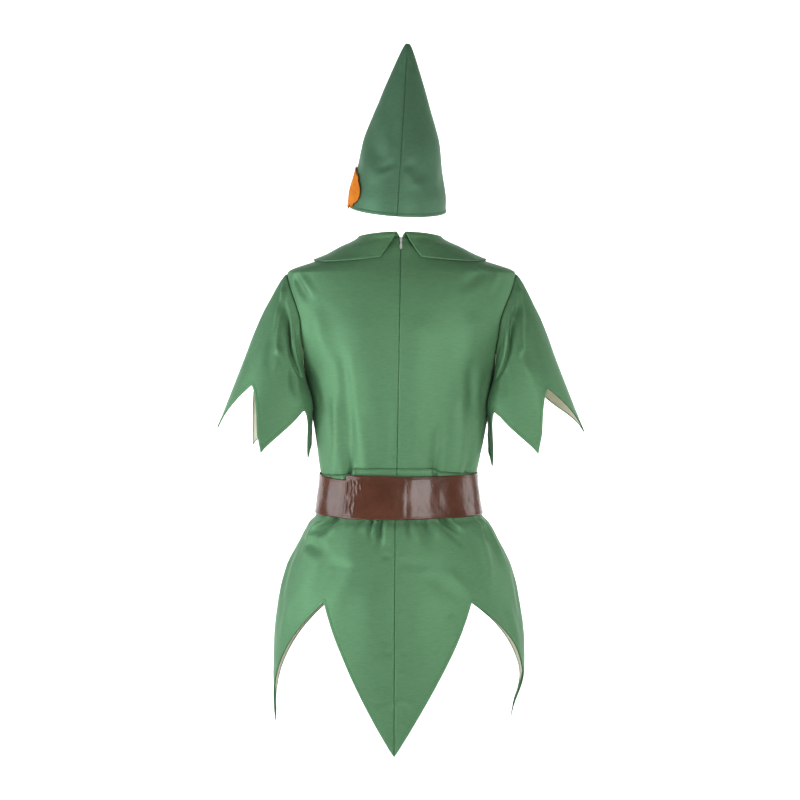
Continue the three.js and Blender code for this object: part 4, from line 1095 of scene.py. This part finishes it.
def hat_normal(angle, z):
    side = np.sign(angle)
    inside = side * np.clip(np.abs(angle), 6, 174)
    near = np.clip(z, 1, HAT_TOP - 1)
    along = hat_ring(inside + 0.5, near) - hat_ring(inside - 0.5, near)
    up = hat_ring(inside, near + 0.5) - hat_ring(inside, near - 0.5)
    return unit(np.cross(along, up))


def hat_panel(name, satin):
    side = -1 if name == "left" else 1
    rows = np.concatenate([[0, 0.3, 0.8, 1.5, 2.5, 4, 5, 6, 7, 8.5, 10.5], np.linspace(13, HAT_TOP, 92)])
    across = []
    for z in rows:
        length = math.pi * hat_reach(z)
        across.append(seam_spread(length, 62, min(1, length / 60)) / length)
    share = np.array(across)
    angle = side * mix(0.001, 179.999, share)
    z = np.broadcast_to(rows[:, None], angle.shape)
    normals = hat_normal(angle, z)
    push = crease_push(HAT_CREASES, angle, z, hat_reach(z)) * smooth(2, 30, z)
    spots = hat_ring(angle, z) + point(side * SEAM_GAP / 2, 0, 0) + normals * push[..., None]
    small = smooth(0, 60, HAT_TOP - z)
    seam_distance = np.minimum(distance_to(spots, spots[:, 0]), distance_to(spots, spots[:, -1]))
    turned = turned_in(seam_distance) * mix(0.25, 1, small)
    pucker = puckered(seam_distance, z, 7) * small
    hem = 1.7 * turned_hem(z, edge=0.25)
    outer = spots + normals * (hem + pucker - turned)[..., None]
    inner = outer - normals * CLOTH
    for face in (outer, inner):  # both halves end at the seam
        face[..., 0] = side * np.maximum(side * face[..., 0], SEAM_GAP / 2)
    made = wall(f"satin_hat_{name}", leaned(outer), leaned(inner), materials=satin, folded=z < FOLDED)
    row = int(np.argmin(np.abs(rows - HEM)))
    return made, (leaned(outer)[row], leaned_way(normals)[row])


# Leaf of felt on the hat's left side.
LEAF = {"tip": -51, "base": -134, "tip_height": 30, "base_height": 32, "half": 34, "middle": 40.0}
LEAF_GAP = 1.2  # how far the leaf lies off the hat


def leaf_half(t):
    return LEAF["half"] * np.sin(np.pi * t**0.8) ** 0.75 + 0.6


def leaf_spot(t, across, lift):
    half = leaf_half(t)
    lobes = 1 + (0.08 * np.sin(t * 40 + 0.8) + 0.05 * np.sin(t * 97)) * np.abs(across) ** 3
    angle = mix(LEAF["tip"], LEAF["base"], t)
    height = mix(LEAF["tip_height"], LEAF["base_height"], t) + 6 * np.sin(np.pi * t)
    z = height + across * half * lobes
    return hat_ring(angle, z) + hat_normal(angle, z) * lift[..., None]


def leaf_line(t, across, lift):
    """A line of stitches on the leaf: its places and their normals."""
    outs = hat_normal(mix(LEAF["tip"], LEAF["base"], t), np.full(t.shape, LEAF["middle"]))
    return leaned(leaf_spot(t, across, np.full(t.shape, lift))), leaned_way(outs)


def hat_leaf(felt):
    t, across = np.meshgrid(np.linspace(0, 1, 110), np.linspace(-1, 1, 61), indexing="ij")
    vein = bell(across * 38) * smooth(0, 0.1, t) * (1 - smooth(0.82, 0.95, t))
    side_veins = 0
    for root in (0.22, 0.36, 0.5, 0.64):
        off = (t - root + np.abs(across) * 0.16) * 150
        fade = smooth(0.02, 0.1, np.abs(across)) * (1 - smooth(0.55, 0.8, np.abs(across)))
        side_veins = side_veins + bell(off, 1.1) * fade
    lift = LEAF_FELT + LEAF_GAP - 0.5 * vein - 0.35 * side_veins
    outer = leaf_spot(t, across, lift)
    inner = leaf_spot(t, across, np.full(t.shape, LEAF_GAP))
    made = wall("felt_leaf", leaned(outer), leaned(inner), materials=felt, bulge=0.5)
    by_edge, by_vein = np.linspace(0.06, 0.94, 70), np.linspace(0.08, 0.86, 60)
    inside = 1 - 1.6 / leaf_half(by_edge)
    lines = [leaf_line(by_edge, edge * inside, LEAF_FELT + 1.25) for edge in (-1, 1)]
    return made, [*lines, leaf_line(by_vein, 0 * by_vein, LEAF_FELT + 0.8)]


# Zip: a tape behind the centre back seam, with its coil on the inside.

def behind_seam(heights, across, depth):
    """Places behind the centre back seam: a row for each height, with its normals."""
    rows = []
    for form, part in ((PLAIN_BODICE, heights > WAIST["back"]), (PLAIN_SKIRT, heights <= WAIST["back"])):
        z = np.broadcast_to(heights[part][:, None], (part.sum(), len(across)))
        angle = np.degrees(np.arcsin(across / form.rings.at("half", z)))
        normals = form.frame(angle, z)[2]
        rows.append((form.spot(angle, z) - normals * depth, normals))
    return (np.concatenate(pair) for pair in zip(*rows))


def zip_tape(tape):
    across = np.linspace(-12, 12, 25)
    waist = WAIST["back"]
    heights = np.concatenate([np.linspace(5.6, waist + 1, 150), np.linspace(waist - 1, ZIP_END, 60)])
    face, normals = behind_seam(heights, across, TAPE_DEPTH)
    fold = 0.25 * bell(across, 1.2)
    front = face - normals * fold[:, None]
    return wall("zip_tape_woven", front, face - normals * TAPE_CLOTH, materials=tape, bulge=0.1)


COIL_RADIUS = 0.42
COIL_RINGS = ((-0.9, 0.5), (-0.5, 1), (1.3, 1), (1.7, 0.5))  # reach across the seam, and girth


def zip_coil(coil):
    """The zip's closed coil: small loops from both sides, along the inside of the tape."""
    spots, faces = [], []
    waist = WAIST["back"]
    heights = np.concatenate([np.linspace(4, waist + 2, 300), np.linspace(waist - 2, ZIP_END + 6, 120)])
    line, outs = behind_seam(heights, np.zeros(1), TAPE_DEPTH + TAPE_CLOTH + 0.45)
    middles, run, normals = along_line(line[:, 0], outs[:, 0], 1.35)
    for i, (middle, way, normal) in enumerate(zip(middles, run, normals)):
        across = unit(np.cross(normal, way)) * (1 if i % 2 else -1)
        round_coil = [way * math.cos(turn) + normal * math.sin(turn) for turn in turns(6)]
        add_tube(spots, faces, [[middle + across * reach + out * COIL_RADIUS * girth for out in round_coil]
                                for reach, girth in COIL_RINGS])
    return new_mesh("zip_coil", np.array(spots), faces, [coil])


# Finishes

class Wire:
    """A socket of a material's nodes. Arithmetic on it adds Math nodes."""

    def __init__(self, nodes, socket):
        self.nodes, self.socket = nodes, socket

    def node(self, kind, settings=(), values=(), output=0):
        return add_node(self.nodes, kind, settings, values, output)

    def math(self, operation, *values):
        return self.node("ShaderNodeMath", {"operation": operation}, dict(enumerate(values)))

    def __add__(self, other):
        return self.math("ADD", self, other)

    def __sub__(self, other):
        return self.math("SUBTRACT", self, other)

    def __mul__(self, other):
        return self.math("MULTIPLY", self, other)

    def clamped(self, low, high):
        """From 0 at low to 1 at high, and no further."""
        values = {"Value": self, "From Min": low, "From Max": high}
        return self.node("ShaderNodeMapRange", {"clamp": True}, values)

    def blend(self, low, high):
        """A colour between two, by this share."""
        values = {0: self, 6: low, 7: high}
        return self.node("ShaderNodeMix", {"data_type": "RGBA"}, values, output=2)

    def stretched(self, x, y, z):
        return self.node("ShaderNodeVectorMath", {"operation": "MULTIPLY"}, {0: self, 1: (x, y, z)})


def add_node(nodes, kind, settings=(), values=(), output=0):
    """Adds a node: its settings first, then its sockets' values or links. It gives one of its outputs."""
    node = nodes.new(kind)
    for name, setting in dict(settings).items():
        setattr(node, name, setting)
    for key, value in dict(values).items():
        socket = node.inputs[key]
        if isinstance(value, Wire):
            nodes.id_data.links.new(value.socket, socket)
        else:
            socket.default_value = (*value, 1) if socket.type == "RGBA" and len(value) == 3 else value
    return Wire(nodes, node.outputs[output]) if len(node.outputs) else None


class Finish:
    """A material that is worked out from the object's own coordinates."""

    def __init__(self, name):
        self.material = bpy.data.materials.new(name)
        self.material.use_nodes = True
        self.nodes = self.material.node_tree.nodes
        self.nodes.clear()
        self.place = self.node("ShaderNodeTexCoord", output=3)

    def node(self, kind, settings=(), values=(), output=0):
        return add_node(self.nodes, kind, settings, values, output)

    def noise(self, scale, detail, stretch=(1, 1, 1), roughness=0.5, distortion=0.0):
        place = self.place if stretch == (1, 1, 1) else self.place.stretched(*stretch)
        values = {"Vector": place, "Scale": scale, "Detail": detail}
        values.update({"Roughness": roughness, "Distortion": distortion})
        return self.node("ShaderNodeTexNoise", {}, values)

    def bump(self, height, distance, strength, under=None):
        values = {"Height": height, "Distance": distance, "Strength": strength}
        if under is not None:
            values["Normal"] = under
        return self.node("ShaderNodeBump", {}, values)

    def done(self, **values):
        named = {name.replace("_", " ").title().replace("Ior", "IOR"): values[name] for name in values}
        shader = self.node("ShaderNodeBsdfPrincipled", {}, named)
        self.node("ShaderNodeOutputMaterial", {}, {"Surface": shader})
        return self.material


def weave(finish):
    """Satin's long floats: fine streaks across, with a slub here and there."""
    floats = finish.noise(1900, 1, stretch=(0.16, 0.16, 1))
    slubs = finish.noise(420, 2, stretch=(0.2, 0.2, 1), roughness=0.65)
    return floats, slubs


def satin_face(name="green_satin", dark=(0.088, 0.205, 0.1), light=(0.128, 0.275, 0.142)):
    finish = Finish(name)
    floats, slubs = weave(finish)
    broad = finish.noise(9, 2)
    shade = (broad - 0.5) * 0.5 + (slubs - 0.5) * 1.1 + (floats - 0.5) * 0.5 + 0.5
    colour = shade.clamped(0, 1).blend(dark, light)
    rough = (slubs - 0.5) * 0.12 + (broad - 0.5) * 0.08 + 0.57
    soft = finish.bump(finish.noise(28, 2, roughness=0.45), 0.0012, 0.55)
    cloth = finish.bump(floats * 0.6 + slubs * 0.4, 0.00012, 0.5, under=soft)
    return finish.done(base_color=colour, roughness=rough, normal=cloth, metallic=0.38,
                       specular_ior_level=0.25, specular_tint=(0.35, 0.42, 0.37), sheen_weight=0.22,
                       sheen_roughness=0.35, sheen_tint=(0.72, 0.95, 0.8))


def satin_back():
    finish = Finish("satin_wrong_side")
    floats, slubs = weave(finish)
    shade = (slubs - 0.5) * 0.9 + (floats - 0.5) * 0.6 + 0.5
    colour = shade.clamped(0, 1).blend((0.6, 0.58, 0.445), (0.78, 0.755, 0.6))
    cloth = finish.bump(floats * 0.6 + slubs * 0.4, 0.00012, 0.6)
    return finish.done(base_color=colour, roughness=0.7, normal=cloth, specular_ior_level=0.25)


def coated_brown():
    finish = Finish("coated_brown")
    grain = finish.noise(900, 3, roughness=0.55)
    wrinkles = finish.noise(55, 4, stretch=(1, 1, 0.5), roughness=0.5, distortion=0.4)
    ripples = finish.noise(150, 3, stretch=(0.35, 0.35, 1.3), roughness=0.5)
    worn = finish.noise(22, 3).clamped(0.35, 0.7)
    colour = worn.blend((0.073, 0.024, 0.012), (0.104, 0.036, 0.019))
    rough = (grain - 0.5) * 0.1 + (wrinkles - 0.5) * 0.2 + 0.25
    crumpled = finish.bump(wrinkles, 0.0022, 0.5)
    rippled = finish.bump(ripples, 0.0005, 0.45, under=crumpled)
    grained = finish.bump(grain, 0.00006, 0.4, under=rippled)
    return finish.done(base_color=colour, roughness=rough, normal=grained, specular_ior_level=0.32,
                       coat_weight=0.12, coat_roughness=0.12)


def orange_felt():
    finish = Finish("orange_felt")
    fibres = finish.noise(700, 4, roughness=0.7, distortion=1.2)
    patches = finish.noise(60, 3)
    shade = (fibres - 0.5) * 1.6 + (patches - 0.5) * 0.8 + 0.5
    colour = shade.clamped(0, 1).blend((0.52, 0.12, 0.006), (0.86, 0.27, 0.02))
    fuzz = finish.bump(fibres, 0.0006, 0.7)
    return finish.done(base_color=colour, roughness=0.92, normal=fuzz, specular_ior_level=0.12,
                       sheen_weight=0.15, sheen_roughness=0.5, sheen_tint=(1.0, 0.6, 0.25))


def woven_tape():
    finish = Finish("woven_tape")
    ribs, cross = (
        finish.node("ShaderNodeTexWave", {"bands_direction": way}, {"Vector": finish.place, "Scale": scale})
        for way, scale in (("Z", 260.0), ("X", 420.0)))
    cloth = ribs * 0.6 + cross * 0.4
    colour = cloth.blend((0.016, 0.052, 0.026), (0.034, 0.098, 0.052))
    return finish.done(base_color=colour, roughness=0.85, normal=finish.bump(cloth, 0.0002, 0.7),
                       specular_ior_level=0.25)


def plated_metal():
    finish = Finish("plated_metal")
    scuffs = finish.noise(1400, 3, stretch=(1, 1, 0.25))
    rough = (scuffs - 0.5) * 0.2 + 0.38
    colour = scuffs.clamped(0.3, 0.7).blend((0.8, 0.81, 0.83), (0.93, 0.93, 0.94))
    scuffed = finish.bump(scuffs, 0.00002, 0.4)
    return finish.done(base_color=colour, roughness=rough, metallic=1.0, normal=scuffed)


def thread(name, dark, light):
    finish = Finish(name)
    twist = finish.noise(3200, 2, stretch=(1, 1, 0.6))
    colour = twist.clamped(0.3, 0.7).blend(dark, light)
    return finish.done(base_color=colour, roughness=0.6, normal=finish.bump(twist, 0.00008, 0.6),
                       specular_ior_level=0.35)


def painted_shade_edge(name, dark, light):
    """Painted shade for the rim of a fold or a cut: a darker colour, since little light falls there."""
    finish = Finish(name)
    frayed = finish.noise(1500, 2)
    return finish.done(base_color=frayed.clamped(0.3, 0.7).blend(dark, light), roughness=0.85,
                       specular_ior_level=0.2)


def coil_plastic():
    finish = Finish("zip_coil_plastic")
    speckle = finish.noise(1800, 2)
    colour = speckle.clamped(0.3, 0.7).blend((0.03, 0.085, 0.05), (0.05, 0.13, 0.075))
    return finish.done(base_color=colour, roughness=0.4)


# Studio

def plain(name, colour):
    material = bpy.data.materials.new(name)
    material.use_nodes = True
    shader = material.node_tree.nodes["Principled BSDF"]
    shader.inputs["Base Color"].default_value = (*colour, 1)
    shader.inputs["Roughness"].default_value = 0.9
    return material


def sweep_backdrop():
    """A pale floor that curves up into a backdrop, well below and behind the costume."""
    profile = [(-6.0, 0.0)]
    profile += [(3.2 + 1.2 * math.sin(t), 1.2 - 1.2 * math.cos(t)) for t in np.linspace(0, math.pi / 2, 14)]
    profile += [(4.4, 6.0)]
    spots = [(x, y, z - 1.35) for y, z in profile for x in (-7.0, 7.0)]
    faces = [(2 * i, 2 * i + 1, 2 * i + 3, 2 * i + 2) for i in range(len(profile) - 1)]
    mesh = bpy.data.meshes.new("studio_sweep")
    mesh.from_pydata(spots, [], faces)
    mesh.shade_smooth()
    mesh.materials.append(plain("pale_paper", (0.93, 0.93, 0.93)))
    sweep = bpy.data.objects.new("studio_sweep", mesh)
    bpy.context.scene.collection.objects.link(sweep)


def placed(name, data, place, way):
    """Adds a light or a camera that looks one way."""
    made = bpy.data.objects.new(name, data)
    made.location = place
    made.rotation_euler = way.to_track_quat("-Z", "Y").to_euler()
    bpy.context.scene.collection.objects.link(made)
    return made


def area_light(name, size, power, colour=(1, 1, 1)):
    light = bpy.data.lights.new(name, "AREA")
    light.shape, light.size, light.size_y = "RECTANGLE", *size
    light.energy, light.color = power, colour
    return light


def softbox(name, azimuth, elevation, distance, *look):
    """A soft light that looks at the costume's middle. Azimuth 0 is the photographer's side."""
    middle = Vector((0, 0, -0.35))
    turn, rise = math.radians(azimuth), math.radians(elevation)
    way = Vector((math.sin(turn) * math.cos(rise), -math.cos(turn) * math.cos(rise), math.sin(rise)))
    placed(name, area_light(name, *look), middle + way * distance, -way)


def studio():
    scene = bpy.context.scene
    sweep_backdrop()
    softbox("key", 28, 2, 1.5, (0.6, 0.7), 10.4)
    softbox("left_side", -76, 6, 1.5, (0.8, 0.9), 13, (0.9, 0.96, 1.0))
    softbox("right_side", 96, 2, 1.6, (0.5, 0.9), 6.5)
    softbox("low_left", -56, -16, 2.2, (1.2, 1.0), 20, (0.95, 0.98, 1.0))
    softbox("low_right", 40, -26, 2.6, (1.2, 1.0), 10)
    softbox("from_above", -10, 38, 2.9, (1.8, 1.2), 5)
    for x in (-2.4, 2.4):
        light = area_light("backdrop_light", (2.2, 3.0), 190)
        placed("backdrop_light", light, (x, 2.0, 1.2), Vector((-x * 0.25, 2.4, -1.6)))
    world = bpy.data.worlds.new("studio_air")
    world.use_nodes = True
    background = world.node_tree.nodes["Background"]
    background.inputs["Color"].default_value = (1, 1, 1, 1)
    background.inputs["Strength"].default_value = 0.2
    scene.world = world
    scene.view_settings.view_transform = "Standard"


def camera():
    """The photographer's camera, straight behind the costume."""
    data = bpy.data.cameras.new("photo_camera")
    data.sensor_fit = "HORIZONTAL"
    data.angle = math.radians(23.35)
    aim, away, rise = Vector((0, 0, -0.292)), 3.6, math.radians(2.5)
    place = aim + Vector((0, -away * math.cos(rise), away * math.sin(rise)))
    bpy.context.scene.camera = placed("photo_camera", data, place, aim - place)


# The costume, put together

def dress(piece, slot, *nodes):
    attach(piece, "costume")
    if nodes:
        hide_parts(*nodes)


def make_tunic(satin, green_thread):
    lines = []
    for name, side in (("left", -1), ("right", 1)):
        back = bodice_back(f"satin_bodice_back_{name}", side, satin)
        dress(back, "satin", f"bodice_back_{name}")
        skirt, hem = skirt_panel(
            f"satin_skirt_back_{name}", side * skirt_angles(True), (side, -side), satin)
        dress(skirt, "satin", f"skirt_back_{name}")
        lines.append(hem)
        arm, hem = sleeve(name, satin)
        dress(arm, "satin", f"sleeve_{name}")
        lines.append(hem)
        neck, topstitch = collar(name, satin)
        dress(neck, "satin", f"collar_{name}")
        lines += topstitch
    front = bodice_front(satin)
    dress(front, "satin", "bodice_front")
    to_right = 180 - skirt_angles(False)[::-1]
    to_left = 180 + skirt_angles(False)[1:]
    angles = np.concatenate([to_right, to_left])
    angles = np.where(angles > 180, angles - 360, angles)
    skirt, hem = skirt_panel("satin_skirt_front", angles, (1, -1), satin)
    dress(skirt, "satin", "skirt_front")
    lines.append(hem)
    sewing = stitches("green_stitching", lines, green_thread, length=2.2, pitch=2.9, thick=0.34)
    dress(sewing, "satin")


def make_belt(coated, brown_thread):
    strip, lines = belt(coated)
    dress(strip, "coated_belt", "belt")
    sewing = stitches("belt_stitching", lines, brown_thread, length=3.2, pitch=4.4, thick=0.75)
    dress(sewing, "coated_belt")


def make_hat(satin, felt, green_thread, brown_thread):
    lines = []
    for name in ("left", "right"):
        panel, hem = hat_panel(name, satin)
        dress(panel, "satin", f"hat_{name}")
        lines.append(hem)
    dress(stitches("hat_stitching", lines, green_thread, length=2.4, pitch=3.1, thick=0.36), "satin")
    leaf, edges = hat_leaf(felt)
    dress(leaf, "felt", "hat_leaf")
    dress(stitches("leaf_stitching", edges, brown_thread, length=2.4, pitch=3.3, thick=0.5), "felt")


def make_zip(frame, tape, coil, metal):
    woven = zip_tape([tape])
    dress(woven, "zip_tape", "zip_tape")
    dress(zip_coil(coil), "zip_tape")
    for name in ("zip_slider", "zip_pull"):
        data = frame["nodes"][name].data
        data.materials.clear()
        data.materials.append(metal)


def main():
    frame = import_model()
    camera()
    studio()
    # The satin's third material is a darker green that paints shade on the rims of the satin walls.
    satin = [satin_face(), satin_back(), painted_shade_edge("satin_edge_painted_shade", (0.02, 0.055, 0.028), (0.035, 0.085, 0.043))]
    # The hat's satin is a darker, bluer copy of the same satin: painted shade for the hat.
    hat_satin_painted_shade = satin_face("hat_satin_painted_shade", (0.072, 0.16, 0.092), (0.105, 0.22, 0.13))
    felt, coated = orange_felt(), coated_brown()
    # A darker felt for the leaf's rim: painted shade.
    felt_edge_painted_shade = painted_shade_edge("felt_edge_painted_shade", (0.09, 0.03, 0.01), (0.22, 0.07, 0.014))
    # A darker brown for the belt's rim: painted shade.
    belt_edge_painted_shade = painted_shade_edge("belt_edge_painted_shade", (0.02, 0.009, 0.006), (0.04, 0.017, 0.011))
    green_thread = thread("green_thread", (0.055, 0.19, 0.088), (0.085, 0.25, 0.125))
    brown_thread = thread("brown_thread", (0.045, 0.017, 0.01), (0.085, 0.035, 0.022))
    make_tunic(satin, green_thread)
    make_belt([coated, coated, belt_edge_painted_shade], brown_thread)
    make_hat([hat_satin_painted_shade, *satin[1:]], [felt, felt, felt_edge_painted_shade], green_thread, brown_thread)
    make_zip(frame, woven_tape(), coil_plastic(), plated_metal())


main()
